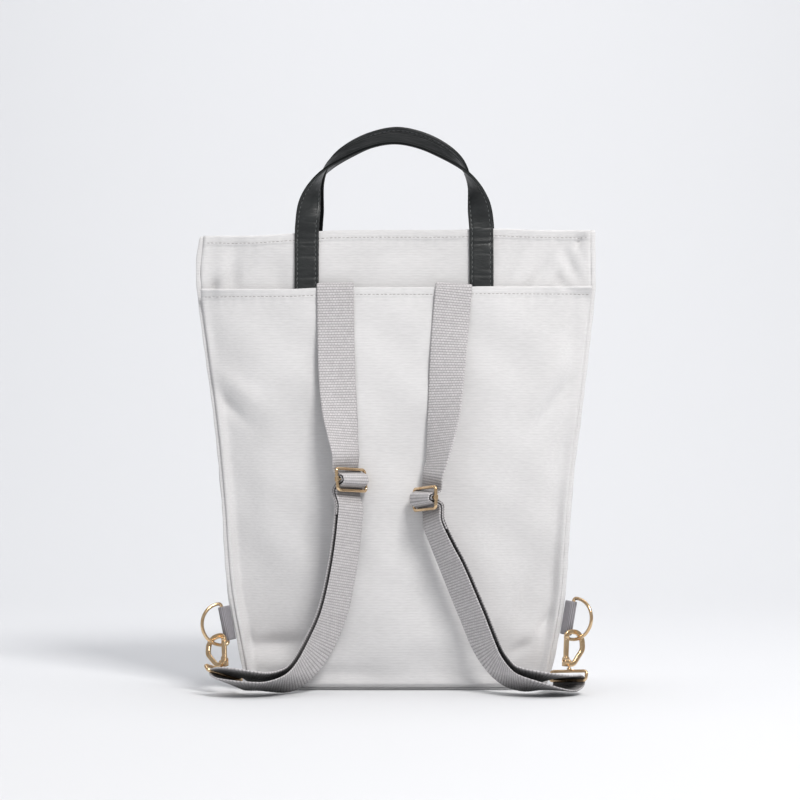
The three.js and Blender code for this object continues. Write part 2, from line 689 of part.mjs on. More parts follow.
// The weave seen from the side, moved towards the bag by the thickness of whole layers
function weaveBehind(fromSlider, distance) {
  const step = 0.01;
  const slope = (weave(fromSlider + step) - weave(fromSlider - step)) / (2 * step);
  const size = Math.hypot(1, slope);
  return {
    along: fromSlider + (slope * distance) / size,
    out: weave(fromSlider) - distance / size,
  };
}

// A shoulder strap: up out of the pocket, down to the hook, round its eye and back to the slider
function shoulderStrap(side, route) {
  const { length, sliderAt } = route;
  const station = (distance, out) => {
    const frame = route.frameAt(distance);
    return { centre: frame.centre.addScaledVector(frame.front, out), across: frame.across };
  };
  const reach = WEAVE_END * WIRE_REACH;
  const smooth = (from, to) => evenSteps(from, to, Math.round((to - from) / STRAP_STEP));
  const fine = evenSteps(sliderAt - reach, sliderAt + reach, 20);
  const lowSteps = smooth(sliderAt + reach, length).slice(1);

  const mouth = route.frameAt(0);
  const rim = POCKET_HEM / 2 + RIM_PLAY + WEBBING / 2;
  const { x, z: rimHeight } = mouth.centre;
  const rimDepth = pocketDepthAt(x, rimHeight);
  const inside = evenSteps(-STRAP_TUCK, 0, 2).map((below) => {
    const y = rim - pocketDepthAt(x, rimHeight + below);
    return { centre: new THREE.Vector3(x, y, rimHeight + below), across: mouth.across };
  });
  const overRim = evenSteps(0, Math.PI, 6).slice(1).map((angle) => {
    const centre = new THREE.Vector3(x, rim * Math.cos(angle) - rimDepth, rimHeight + rim * Math.sin(angle));
    return { centre, across: mouth.across };
  });
  const frontLayer = [...smooth(0, sliderAt - reach).slice(1, -1), ...fine, ...lowSteps]
    .map((distance) => station(distance, weave(distance - sliderAt)));
  const fold = evenSteps(0, Math.PI, 8).slice(1, -1).map((angle) => {
    return station(length + FOLD_RADIUS * Math.sin(angle), -FOLD_RADIUS * (1 - Math.cos(angle)));
  });
  const backLayer = [...fine.filter((at) => at > sliderAt + 1), ...lowSteps].reverse().map((distance) => {
    const down = (distance - sliderAt) / (length - sliderAt);
    const gap = 2 * FOLD_RADIUS * readTable(LAYER_GAPS, 'down', 'gap', down);
    const low = weave(Math.max(distance - sliderAt, WIRE_REACH)) - gap;
    const share = smoothstep(distance - sliderAt, 0, WIRE_REACH);
    return station(distance, lerp(-BAR_WRAP, low, share));
  });
  const roundBar = evenSteps(-90, -270, 6).map(degToRad).map((angle) => {
    return station(sliderAt + BAR_WRAP * Math.cos(angle), BAR_WRAP * Math.sin(angle));
  });
  const tail = evenSteps(WEAVE_START * WIRE_REACH, TAIL_LENGTH, 12).map((at) => {
    const place = weaveBehind(at, LAYER);
    return station(sliderAt + place.along, place.out);
  });
  return ribbon(
    [...inside, ...overRim, ...frontLayer, ...fold, ...backLayer, ...roundBar, ...tail],
    STRAP_WIDTH, WEBBING,
  );
}

// Slider: a wire frame across the strap, and its loose middle bar with a collar on each side wire
function sliderFrame() {
  const halfWidth = (STRAP_WIDTH + SLIDER_WIRE) / 2 + SIDE_PLAY;
  return wire(roundedLoop(halfWidth, WIRE_REACH, SLIDER_WIRE, 3), SLIDER_WIRE, AWAY, true);
}

function sliderBar() {
  const halfWidth = STRAP_WIDTH / 2 + SIDE_PLAY - GAP;
  return new THREE.CylinderGeometry(SLIDER_BAR / 2, SLIDER_BAR / 2, 2 * halfWidth, 10).rotateZ(Math.PI / 2);
}

// D-ring: a straight bar inside the webbing loop and a half round outside it
function dRing() {
  const corner = RING_STRAIGHT * 0.75;
  const arc = evenSteps(90, -90, 14).map(degToRad).map((angle) => {
    return new THREE.Vector3(RING_STRAIGHT + RING_RADIUS * Math.cos(angle), 0, RING_RADIUS * Math.sin(angle));
  });
  const cornerAt = (start) => evenSteps(start, start - 90, 2).map(degToRad).map((angle) => {
    const z = Math.sign(Math.sin(degToRad(start - 45))) * (RING_RADIUS - corner);
    return new THREE.Vector3(corner + corner * Math.cos(angle), 0, z + corner * Math.sin(angle));
  });
  return wire([...arc, ...cornerAt(-90), ...cornerAt(180)], RING_WIRE, AWAY, true);
}

// The webbing loop that holds a D-ring: out of the seam, round the ring's bar and back into the seam
function ringLoop() {
  const place = (x, y) => ({ centre: new THREE.Vector3(x, y, 0), across: UP });
  const wrap = evenSteps(90, -90, 8).map(degToRad).map((angle) => {
    return place(LOOP_WRAP * Math.cos(angle), LOOP_WRAP * Math.sin(angle));
  });
  return ribbon(
    [place(-LOOP_REACH, LOOP_LAYERS), place(-LOOP_REACH * 0.5, LOOP_WRAP * 0.7), ...wrap,
      place(-LOOP_REACH * 0.5, -LOOP_WRAP * 0.7), place(-LOOP_REACH, -LOOP_LAYERS)],
    LOOP_WIDTH, WEBBING,
  );
}

// Rounds the corners of a path of points
function softenCorners(points, radius, steps) {
  return points.flatMap((point, i) => {
    if (i === 0 || i === points.length - 1) return [point];
    const before = points[i - 1].clone().sub(point);
    const after = points[i + 1].clone().sub(point);
    const from = point.clone().addScaledVector(before, Math.min(radius / before.length(), 0.45));
    const to = point.clone().addScaledVector(after, Math.min(radius / after.length(), 0.45));
    return new THREE.QuadraticBezierCurve3(from, point, to).getPoints(steps);
  });
}

function box(width, depth, height, x, y, z) {
  return toSolid(new THREE.BoxGeometry(width, depth, height).translate(x, y, z));
}

// A round pin or disc along Y
function disc(radius, depth, x, y, z, sides = 12) {
  return toSolid(new THREE.CylinderGeometry(radius, radius, depth, sides).translate(x, y, z));
}

// Hook body: its bent spine, the foot with two cheeks, the gate's pin and the swivel's rivet head
function hookBody() {
  const path = HOOK_SPINE.map((row) => new THREE.Vector3(row.out * HOOK_WIDTH, 0, row.up * HOOK_HEIGHT));
  let solid = toSolid(wire(softenCorners(path, HOOK_WIRE, 2), HOOK_WIRE, AWAY, false));
  const pinX = PIVOT.out * HOOK_WIDTH;
  const pinZ = PIVOT.up * HOOK_HEIGHT;
  const inner = GATE_DEPTH / 2 + GAP;
  const footTop = pinZ - GATE_WIDTH / 2 - GAP;
  const footDepth = 2 * (inner + CHEEK);
  solid = solid.add(box(GATE_WIDTH, footDepth, footTop, pinX, 0, footTop / 2));
  for (const way of [-1, 1]) {
    const y = way * (inner + CHEEK / 2);
    solid = solid.add(box(GATE_WIDTH, CHEEK, pinZ, pinX, y, pinZ / 2));
    solid = solid.add(disc(GATE_WIDTH / 2, CHEEK, pinX, y, pinZ));
  }
  solid = solid.add(disc(PIN_DIAMETER / 2, footDepth - CHEEK / 2, pinX, 0, pinZ));
  const head = new THREE.SphereGeometry(RIVET_HEAD / 2, 10, 6).translate(0, 0, HOOK_WIRE);
  return fromSolid(solid.add(toSolid(head)));
}

// Gate: a straight lever about the hook's pin, in a frame whose origin is the pin
function hookGate() {
  const length = (NOSE_END - PIVOT.up) * HOOK_HEIGHT - GAP;
  const wide = GATE_WIDTH / 2;
  const deep = GATE_DEPTH / 2;
  const cut = GATE_DEPTH / 4;
  const outline = [
    [wide, -deep + cut], [wide, deep - cut], [wide - cut, deep], [cut - wide, deep],
    [-wide, deep - cut], [-wide, cut - deep], [cut - wide, -deep], [wide - cut, -deep],
  ].map(([x, y]) => new THREE.Vector2(x, y));
  const lever = new THREE.ExtrudeGeometry(new THREE.Shape(outline), { depth: length, bevelEnabled: false });
  const knuckle = disc(wide, GATE_DEPTH, 0, 0, 0);
  const bore = disc(PIN_DIAMETER / 2 + GAP, 2 * GATE_DEPTH, 0, 0, 0);
  return fromSolid(toSolid(lever).add(knuckle).subtract(bore));
}

// Swivel eye: a ball under the hook, which is its origin, and the rectangle that carries the strap
function swivelEye() {
  const halfWidth = (STRAP_WIDTH + EYE_WIRE) / 2 + SIDE_PLAY;
  const halfHeight = (EYE_HEIGHT - EYE_WIRE) / 2;
  const loop = wire(roundedLoop(halfWidth, halfHeight, EYE_WIRE, 3), EYE_WIRE, AWAY, true)
    .translate(0, 0, -EYE_DROP - halfHeight);
  const ball = new THREE.SphereGeometry(RIVET_HEAD / 2, 10, 6);
  return fromSolid(toSolid(loop).add(toSolid(ball)));
}

const pack = new THREE.Group();

function addPiece(name, geometry, finish, frame) {
  const mesh = new THREE.Mesh(geometry, new THREE.MeshStandardMaterial(finish));
  mesh.name = name;
  if (frame) mesh.applyMatrix4(frame);
  pack.add(mesh);
}

addPiece('back_panel', backPanel(), CANVAS);
addPiece('front_panel', frontPanel(), CANVAS);
addPiece('pocket_panel', pocketPanel(), CANVAS);
addPiece('base_panel', basePanel(), CANVAS);
addPiece('handle_back', handle(-1), LEATHER);
addPiece('handle_front', handle(1), LEATHER);

for (const side of SIDES) {
  addPiece(`gusset_${side.name}`, gusset(side.sign), CANVAS);
  addPiece(`seam_back_${side.name}`, sideSeam(side.sign, -1), CANVAS);
  addPiece(`seam_front_${side.name}`, sideSeam(side.sign, 1), CANVAS);

  const frames = hangingFrames(side);
  addPiece(`ring_loop_${side.name}`, ringLoop(), WEB, frames.ring);
  addPiece(`d_ring_${side.name}`, dRing(), BRASS, frames.ring);
  addPiece(`hook_body_${side.name}`, hookBody(), BRASS, frames.hook);
  const pivot = new THREE.Vector3(PIVOT.out * HOOK_WIDTH, 0, PIVOT.up * HOOK_HEIGHT);
  const gateFrame = frames.hook.clone().setPosition(pivot.applyMatrix4(frames.hook));
  addPiece(`hook_gate_${side.name}`, hookGate(), BRASS, gateFrame);
  addPiece(`swivel_eye_${side.name}`, swivelEye(), BRASS, frames.eye);

  const route = strapRoute(side, frames.bar);
  addPiece(`shoulder_strap_${side.name}`, shoulderStrap(side, route), WEB);
  const at = route.frameAt(route.sliderAt);
  const sliderPlace = frameOf(at.centre, at.across, at.along.clone().negate());
  addPiece(`slider_frame_${side.name}`, sliderFrame(), BRASS, sliderPlace);
  addPiece(`slider_bar_${side.name}`, sliderBar(), BRASS, sliderPlace);
}

export default pack;
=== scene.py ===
"""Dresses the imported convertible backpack: canvas, webbing, leather and brass on its CAD frame."""

from __future__ import annotations

import json
import logging
import math
from dataclasses import dataclass, field
from enum import Enum
from typing import Any

import bpy
import numpy as np
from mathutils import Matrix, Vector
from mathutils.bvhtree import BVHTree


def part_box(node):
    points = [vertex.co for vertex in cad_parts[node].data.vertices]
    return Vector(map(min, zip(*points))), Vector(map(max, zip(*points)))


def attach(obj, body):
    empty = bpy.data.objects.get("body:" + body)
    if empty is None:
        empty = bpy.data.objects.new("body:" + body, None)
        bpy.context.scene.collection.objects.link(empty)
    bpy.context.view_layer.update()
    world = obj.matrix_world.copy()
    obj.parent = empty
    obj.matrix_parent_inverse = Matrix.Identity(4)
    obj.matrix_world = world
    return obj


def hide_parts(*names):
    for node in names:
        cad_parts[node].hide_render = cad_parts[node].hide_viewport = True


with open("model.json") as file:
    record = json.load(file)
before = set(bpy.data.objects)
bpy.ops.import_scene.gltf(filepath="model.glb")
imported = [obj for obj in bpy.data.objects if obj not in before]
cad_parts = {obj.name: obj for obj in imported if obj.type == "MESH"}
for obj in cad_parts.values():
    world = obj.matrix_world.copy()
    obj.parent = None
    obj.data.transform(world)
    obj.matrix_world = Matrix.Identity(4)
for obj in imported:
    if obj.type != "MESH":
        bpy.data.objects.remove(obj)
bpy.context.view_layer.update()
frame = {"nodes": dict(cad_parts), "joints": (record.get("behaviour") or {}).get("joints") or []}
SEED = 7
MM = 0.001
SWELL = 80 * MM
UP = np.array([0.0, 0.0, 1.0])
log = logging.getLogger("backpack")


class Side(Enum):
    """The two sides of the bag, with the sign of their X."""

    LEFT = -1
    RIGHT = 1

    @property
    def label(self) -> str:
        """The side's name as the CAD nodes spell it."""
        return self.name.lower()

    @property
    def outwards(self) -> np.ndarray:
        """The way from the bag's middle to this side."""
        return np.array([float(self.value), 0.0, 0.0])


FLAT_SEAM, RAISED_SEAM = 2.3 * MM, 3.2 * MM
STRAP_SAG = {Side.LEFT: 6.4 * MM, Side.RIGHT: 3.6 * MM}


class Slot(Enum):
    """The record's material slots."""

    CANVAS = "canvas"
    WEBBING = "webbing"
    LEATHER = "leather"
    BRASS = "brass"


def linear(colour: str) -> tuple[float, float, float, float]:
    """Turns an sRGB hex colour such as "a0b1c2" into linear RGBA.

    Args:
        colour: Six hex digits.

    Returns:
        The linear colour, with an alpha of 1.
    """
    parts = [int(colour[i : i + 2], 16) / 255 for i in (0, 2, 4)]
    steps = [c / 12.92 if c <= 0.04045 else ((c + 0.055) / 1.055) ** 2.4 for c in parts]
    return (steps[0], steps[1], steps[2], 1.0)


def add_node(
    tree: bpy.types.NodeTree,
    kind: str,
    settings: dict[str, Any] | None = None,
    inputs: dict[str | int, Any] | None = None,
) -> bpy.types.Node:
    """Adds a node to a tree.

    Args:
        tree: The material's, world's or geometry's node tree.
        kind: The node's type name.
        settings: Attributes of the node to set.
        inputs: Values for its sockets, or sockets to link into them.

    Returns:
        The new node.
    """
    node = tree.nodes.new(kind)
    for name, value in (settings or {}).items():
        setattr(node, name, value)
    for key, value in (inputs or {}).items():
        socket = node.inputs[key]
        if isinstance(value, bpy.types.NodeSocket):
            tree.links.new(value, socket)
        else:
            socket.default_value = value
    return node


def bands(pitch: float) -> float:
    """The Wave texture's scale for bands that repeat every pitch metres."""
    return math.pi / 10 / pitch


class Finish:
    """A material in the making: its tree, its shader and its output."""

    def __init__(self, name: str) -> None:
        """Starts an empty material.

        Args:
            name: The material's common name.
        """
        self.material = bpy.data.materials.new(name)
        self.material.use_nodes = True
        self.tree = self.material.node_tree
        self.tree.nodes.clear()
        self.shader = self.add("ShaderNodeBsdfPrincipled")
        self.add("ShaderNodeOutputMaterial", inputs={"Surface": self.shader.outputs["BSDF"]})

    def add(
        self, kind: str, settings: dict[str, Any] | None = None, inputs: dict[str | int, Any] | None = None
    ) -> bpy.types.Node:
        """Adds a node to the material's tree, as add_node does."""
        return add_node(self.tree, kind, settings, inputs)

    def set(self, **values: Any) -> None:
        """Sets sockets of the shader.

        Args:
            **values: Numbers and colours to set, or sockets to link. Their names are the shader's socket
                names with underscores for spaces.
        """
        for name, value in values.items():
            socket = self.shader.inputs[name.replace("_", " ")]
            if isinstance(value, bpy.types.NodeSocket):
                self.tree.links.new(value, socket)
            else:
                socket.default_value = value

    def mix(self, share: Any, dark: str, pale: str) -> bpy.types.NodeSocket:
        """Mixes two colours.

        Args:
            share: A socket or number, 0 for dark and 1 for pale.
            dark: The sRGB hex colour at 0.
            pale: The sRGB hex colour at 1.

        Returns:
            The colour's socket.
        """
        node = self.add(
            "ShaderNodeMix",
            {"data_type": "RGBA"},
            {"Factor": share, 6: linear(dark), 7: linear(pale)},
        )
        return node.outputs[2]

    def noise(self, coords: bpy.types.NodeSocket, size: float, detail: float = 2.0) -> bpy.types.NodeSocket:
        """Adds noise.

        Args:
            coords: Where the pattern is read.
            size: How wide its lumps are, in metres.
            detail: How many finer layers it has.

        Returns:
            The noise, from 0 to 1.
        """
        node = self.add("ShaderNodeTexNoise", None, {"Vector": coords, "Scale": 1 / size, "Detail": detail})
        return node.outputs["Fac"]

    def wave(
        self, coords: bpy.types.NodeSocket, axis: str, pitch: float, wobble: float
    ) -> bpy.types.NodeSocket:
        """Adds bands across an axis.

        Args:
            coords: Where the pattern is read.
            axis: X, Y or Z.
            pitch: How far apart the bands are, in metres.
            wobble: How uneven they are.

        Returns:
            The bands, from 0 to 1.
        """
        node = self.add(
            "ShaderNodeTexWave",
            {"wave_type": "BANDS", "bands_direction": axis},
            {
                "Vector": coords,
                "Scale": bands(pitch),
                "Distortion": wobble,
                "Detail": 2.0,
                "Detail Scale": 1.5,
            },
        )
        return node.outputs["Fac"]

    def bump(
        self, height: bpy.types.NodeSocket, depth: float, strength: float, below: Any = None
    ) -> bpy.types.NodeSocket:
        """Adds a bump.

        Args:
            height: The pattern that stands out.
            depth: How far it stands out, in metres.
            strength: How much of it shows, from 0 to 1.
            below: Another bump's normal, which it lies on.

        Returns:
            The normal.
        """
        inputs: dict[str | int, Any] = {"Height": height, "Distance": depth, "Strength": strength}
        if below is not None:
            inputs["Normal"] = below
        return self.add("ShaderNodeBump", None, inputs).outputs["Normal"]

    def multiply(self, first: Any, second: Any) -> bpy.types.NodeSocket:
        """The product of two values or sockets."""
        return self.add("ShaderNodeMath", {"operation": "MULTIPLY"}, {0: first, 1: second}).outputs[0]

    def ranged(self, value: bpy.types.NodeSocket, **ends: float) -> bpy.types.NodeSocket:
        """Maps a value from one range to another.

        Args:
            value: The value.
            **ends: The ranges' ends, by the Map Range node's socket names with underscores for spaces.

        Returns:
            The mapped value.
        """
        inputs = {name.replace("_", " "): end for name, end in ends.items()}
        return self.add("ShaderNodeMapRange", None, {"Value": value, **inputs}).outputs["Result"]

    def times(self, coords: bpy.types.NodeSocket, factors: tuple[float, ...]) -> bpy.types.NodeSocket:
        """Coordinates times a factor for each axis; a small factor stretches a pattern along its axis."""
        return self.add("ShaderNodeVectorMath", {"operation": "MULTIPLY"}, {0: coords, 1: factors}).outputs[0]

    def dim(self, colour: bpy.types.NodeSocket, share: bpy.types.NodeSocket) -> bpy.types.NodeSocket:
        """Darkens a colour.

        Args:
            colour: The colour.
            share: How much of it is left, from 0 to 1.

        Returns:
            The darkened colour.
        """
        black = (0, 0, 0, 1)
        node = self.add("ShaderNodeMix", {"data_type": "RGBA"}, {"Factor": share, 6: black, 7: colour})
        return node.outputs[2]

    def total(self, parts: list[Any]) -> bpy.types.NodeSocket:
        """Adds several values up.

        Args:
            parts: The values, of which the first is a socket.

        Returns:
            Their sum.
        """
        made = parts[0]
        for part in parts[1:]:
            made = self.add("ShaderNodeMath", {"operation": "ADD"}, {0: made, 1: part}).outputs[0]
        return made

    def place(self) -> bpy.types.NodeSocket:
        """The Object coordinates, in metres."""
        return self.add("ShaderNodeTexCoord").outputs["Object"]

    def weave(self) -> bpy.types.NodeSocket:
        """A ribbon's own coordinates: X across it and Y along it, in metres, and Z 1 on its outer face."""
        return self.add("ShaderNodeAttribute", {"attribute_name": "weave"}).outputs["Vector"]


@dataclass(frozen=True)
class CottonCanvas:
    """Ribbed cotton canvas: matt and pale, with fine level ribs and slubs that catch the soft light."""

    dark: str = "bfbebe"
    pale: str = "e9e8e8"
    rib_pitch: float = 2.75 * MM
    thread_pitch: float = 0.7 * MM
    slub_stretch: tuple[float, float, float] = (0.16, 1.0, 1.0)

    def material(self) -> bpy.types.Material:
        """Makes the canvas.

        Returns:
            The canvas's material.
        """
        made = Finish("Cotton canvas")
        place = made.place()
        ribs = made.wave(place, "Z", self.rib_pitch, 1.6)
        threads = made.wave(place, "X", self.thread_pitch, 2.0)
        slubs = made.noise(made.times(place, self.slub_stretch), 1.3 * MM, 3.0)
        clouds = made.noise(place, 60 * MM, 2.0)
        parts = [made.multiply(ribs, 0.09), made.multiply(slubs, 0.5), made.multiply(clouds, 0.4)]
        tone = made.total(parts)
        low = made.bump(clouds, 0.5 * MM, 0.25)
        rib = made.bump(ribs, 0.1 * MM, 0.25, low)
        thread = made.bump(threads, 0.04 * MM, 0.3, rib)
        made.set(
            Base_Color=made.mix(tone, self.dark, self.pale),
            Roughness=0.92,
            Sheen_Weight=0.1,
            Normal=made.bump(slubs, 0.14 * MM, 0.6, thread),
        )
        return made.material


@dataclass(frozen=True)
class CottonWebbing:
    """Heavy woven webbing: cross ribs of small staggered bumps, with painted shade that darkens its colour
    deep in the ribbon's folds and between its layers.
    """

    dark: str = "868384"
    pale: str = "d4d1d2"
    rib_pitch: float = 2.7 * MM
    warp_pitch: float = 2.9 * MM
    scale: float = 100.0
    name: str = "Cotton webbing"
    # How far the painted shade looks for near surfaces, and how much of the colour it leaves at its darkest.
    shade_reach: float = 22 * MM
    deepest: float = 0.18

    def material(self) -> bpy.types.Material:
        """Makes the webbing.

        Returns:
            The webbing's material.
        """
        made = Finish(self.name)
        weave = made.weave()
        bumps = made.add(
            "ShaderNodeTexBrick",
            {"offset": 0.5, "offset_frequency": 2},
            {
                "Vector": weave,
                "Color1": (1, 1, 1, 1),
                "Color2": (0.72, 0.72, 0.72, 1),
                "Mortar": (0, 0, 0, 1),
                "Scale": self.scale,
                "Brick Width": self.warp_pitch * self.scale,
                "Row Height": self.rib_pitch * self.scale,
                "Mortar Size": 0.3 * MM * self.scale,
                "Mortar Smooth": 1.0,
            },
        ).outputs["Color"]
        ribs = made.wave(weave, "Y", self.rib_pitch, 0.2)
        fuzz = made.noise(weave, 0.8 * MM, 3.0)
        rows = made.total([made.multiply(bumps, 0.7), made.multiply(ribs, 0.3)])
        tone = made.multiply(rows, made.total([fuzz, 0.45]))
        knot = made.bump(rows, 0.42 * MM, 0.65)
        # Painted shade: the ambient occlusion node's share darkens the base colour where other surfaces lie
        # near, deep in the folds and between the webbing's layers.
        shade = made.add(
            "ShaderNodeAmbientOcclusion",
            {"samples": 8},
            {"Color": made.mix(tone, self.dark, self.pale), "Distance": self.shade_reach},
        )
        depth = made.ranged(shade.outputs["AO"], From_Min=0.02, From_Max=0.28, To_Min=self.deepest)
        made.set(
            Base_Color=made.dim(shade.outputs["Color"], depth),
            Roughness=0.88,
            Sheen_Weight=0.15,
            Normal=made.bump(fuzz, 0.1 * MM, 0.5, knot),
        )
        return made.material


@dataclass(frozen=True)
class FullGrainLeather:
    """Black leather: finely grained and satin outside with creases; duller on its inner face, which is also
    painted darker as painted shade.
    """

    dark: str = "0c0e0e"
    pale: str = "3a3e3f"
    grain: float = 1.3 * MM
    crease_stretch: tuple[float, float, float] = (0.45, 1.0, 1.2)

    def material(self) -> bpy.types.Material:
        """Makes the leather.

        Returns:
            The leather's material.
        """
        made = Finish("Black leather")
        place = made.place()
        cells = made.add("ShaderNodeTexVoronoi", None, {"Vector": place, "Scale": 1 / self.grain})
        wear = made.noise(made.times(place, self.crease_stretch), 9 * MM, 4.0)
        # Painted shade: the inner face, toward the bag, gets a much darker colour, and it is also less glossy
        # than the outer face.
        outer_face = made.add("ShaderNodeSeparateXYZ", None, {"Vector": made.weave()}).outputs["Z"]
        shine_and_painted_shade = made.ranged(outer_face, From_Min=-1.0, To_Min=0.06, To_Max=0.45)
        made.set(
            Base_Color=made.mix(made.multiply(wear, shine_and_painted_shade), self.dark, self.pale),
            Roughness=made.ranged(wear, To_Min=0.28, To_Max=0.6),
            Specular_IOR_Level=shine_and_painted_shade,
            Normal=made.bump(cells.outputs["Distance"], 0.1 * MM, 0.35, made.bump(wear, 2 * MM, 0.5)),
        )
        return made.material


@dataclass(frozen=True)
class SewingThread:
    """Cotton thread: pale grey and matt, with a twist fine enough to break its highlight."""

    colour: str = "a7a4a2"
    name: str = "Cotton thread"
    roughness: float = 0.75

    def material(self) -> bpy.types.Material:
        """Makes the thread.

        Returns:
            The thread's material.
        """
        made = Finish(self.name)
        twist = made.noise(made.place(), 0.35 * MM)
        made.set(
            Base_Color=linear(self.colour),
            Roughness=self.roughness,
            Normal=made.bump(twist, 0.08 * MM, 0.4),
        )
        return made.material


@dataclass(frozen=True)
class PolishedBrass:
    """Gold-coloured brass: a polished cast metal with slight unevenness that bends its reflections."""

    dark: str = "c89f70"
    pale: str = "f0dab6"

    def material(self) -> bpy.types.Material:
        """Makes the brass.

        Returns:
            The brass's material.
        """
        made = Finish("Polished brass")
        place = made.place()
        tarnish = made.noise(place, 7 * MM, 3.0)
        made.set(
            Base_Color=made.mix(tarnish, self.dark, self.pale),
            Metallic=1.0,
            Roughness=0.2,
            Normal=made.bump(made.noise(place, 3 * MM), 0.12 * MM, 0.2),
        )
        return made.material


@dataclass(frozen=True)
class PaperSweep:
    """White background paper: matt, without any pattern of its own that the eye can find."""

    colour: str = "e0e1e3"

    def material(self) -> bpy.types.Material:
        """Makes the paper.

        Returns:
            The paper's material.
        """
        made = Finish("Background paper")
        made.set(Base_Color=linear(self.colour), Roughness=0.9)
        return made.material


@dataclass
class Shape:
    """Points and faces of a mesh, with weave coordinates where it is a ribbon."""

    points: np.ndarray
    faces: list[tuple[int, ...]]
    weave: np.ndarray | None = None

    def volume(self) -> float:
        """Measures the shape.

        Returns:
            Six times the volume, below 0 where the faces look inwards.
        """
        total = 0.0
        for face in self.faces:
            a = self.points[face[0]]
            for j in range(1, len(face) - 1):
                total += float(np.dot(a, np.cross(self.points[face[j]], self.points[face[j + 1]])))
        return total

    def outwards(self) -> Shape:
        """Turns the faces so that they look outwards.

        Returns:
            The same shape.
        """
        if self.volume() < 0:
            self.faces = [tuple(reversed(face)) for face in self.faces]
        return self

    def moved(self, x: float, y: float, z: float) -> Shape:
        """Moves the shape, and gives it back."""
        self.points = self.points + np.array([x, y, z])
        return self


def loft(rings: np.ndarray, closed: bool = False, weave: np.ndarray | None = None) -> Shape:
    """Joins rings of points into a tube.

    Args:
        rings: The points, as rings by points by 3.
        closed: Whether the last ring joins the first; otherwise the ends get caps.
        weave: Weave coordinates of the same rings.

    Returns:
        The tube, with its faces outwards.
    """
    count, size = rings.shape[:2]
    faces: list[tuple[int, ...]] = []
    for i in range(count if closed else count - 1):
        a, b = i * size, (i + 1) % count * size
        for j in range(size):
            k = (j + 1) % size
            faces.append((a + j, a + k, b + k, b + j))
    if not closed:
        faces.append(tuple(range(size))[::-1])
        faces.append(tuple((count - 1) * size + j for j in range(size)))
    flat = None if weave is None else weave.reshape(-1, 3)
    return Shape(rings.reshape(-1, 3), faces, flat).outwards()


def join(shapes: list[Shape]) -> Shape:
    """Puts several shapes in one mesh, each still closed by itself.

    Args:
        shapes: The shapes.

    Returns:
        One shape of them all.
    """
    points, faces, start = [], [], 0
    for shape in shapes:
        points.append(shape.points)
        faces += [tuple(start + i for i in face) for face in shape.faces]
        start += len(shape.points)
    weave = None if shapes[0].weave is None else np.concatenate([s.weave for s in shapes])
    return Shape(np.concatenate(points), faces, weave)


def add_piece(
    node: str, end: str, shape: Shape, finish: bpy.types.Material, body: str = "pack"
) -> bpy.types.Object:
    """Makes the smooth piece that stands for a CAD node.

    Args:
        node: The CAD node.
        end: What the piece's name has after the node's.
        shape: Its mesh, in metres in the shared frame.
        finish: Its material.
        body: The CAD body it moves with.

    Returns:
        The object.
    """
    name = f"{node}_{end}"
    mesh = bpy.data.meshes.new(name)
    mesh.from_pydata(shape.points.tolist(), [], shape.faces)
    mesh.materials.append(finish)
    mesh.shade_smooth()
    if shape.weave is not None:
        layer = mesh.attributes.new("weave", "FLOAT_VECTOR", "POINT")
        layer.data.foreach_set("vector", shape.weave.astype(np.float32).ravel())
    obj = bpy.data.objects.new(name, mesh)
    bpy.context.scene.collection.objects.link(obj)
    settle(obj, body)
    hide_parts(node)
    log.info("%s: %d faces", name, len(shape.faces))
    return obj


def settle(obj: bpy.types.Object, body: str) -> None:
    """Gives a finished object its body.

    Args:
        obj: The object.
        body: The CAD body it moves with.
    """
    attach(obj, body)


def unit(vectors: np.ndarray) -> np.ndarray:
    """The vectors at length one."""
    return vectors / np.maximum(np.linalg.norm(vectors, axis=-1, keepdims=True), 1e-12)


def smoothstep(value: np.ndarray, start: float, end: float) -> np.ndarray:
    """Rises smoothly from 0 at start to 1 at end."""
    share = np.clip((value - start) / (end - start), 0, 1)
    return share * share * (3 - 2 * share)


def bell(offset: np.ndarray, spread: float) -> np.ndarray:
    """A bell curve of an offset, which is 1 at 0."""
    return np.exp(-((offset / spread) ** 2))


def kernel(spread: float) -> tuple[np.ndarray, int]:
    """Makes the weights of a bell curve for smoothing.

    Args:
        spread: The bell curve's spread, in cells.

    Returns:
        The weights, which add up to 1, and how far they reach from their middle.
    """
    reach = int(math.ceil(3 * spread))
    weights = np.exp(-0.5 * (np.arange(-reach, reach + 1) / spread) ** 2)
    return weights / weights.sum(), reach


def catmull(values: np.ndarray, places: np.ndarray, at: np.ndarray) -> np.ndarray:
    """Reads a smooth curve through rows of values.

    Args:
        values: The rows.
        places: Where each row stands.
        at: Where to read.

    Returns:
        A row for each place that is read.
    """
    i = np.clip(np.searchsorted(places, at, side="right") - 1, 0, len(places) - 2)
    slopes = np.gradient(values, places, axis=0)
    span = (places[i + 1] - places[i])[:, None]
    s = (at - places[i])[:, None] / span
    ends = (2 * s**3 - 3 * s**2 + 1) * values[i] + (3 * s**2 - 2 * s**3) * values[i + 1]
    bends = (s**3 - 2 * s**2 + s) * slopes[i] + (s**3 - s**2) * slopes[i + 1]
    return ends + bends * span


def blur(grid: np.ndarray, spread: float) -> np.ndarray:
    """Smooths a grid both ways.

    Args:
        grid: The numbers.
        spread: The bell curve's spread, in cells.

    Returns:
        The smooth grid.
    """
    weights, reach = kernel(spread)

    def smooth(line: np.ndarray) -> np.ndarray:
        """Smooths one line of the grid, which goes on past its ends as it comes to them."""
        return np.convolve(np.pad(line, reach, mode="reflect", reflect_type="odd"), weights, "valid")

    return np.apply_along_axis(smooth, 1, np.apply_along_axis(smooth, 0, grid))


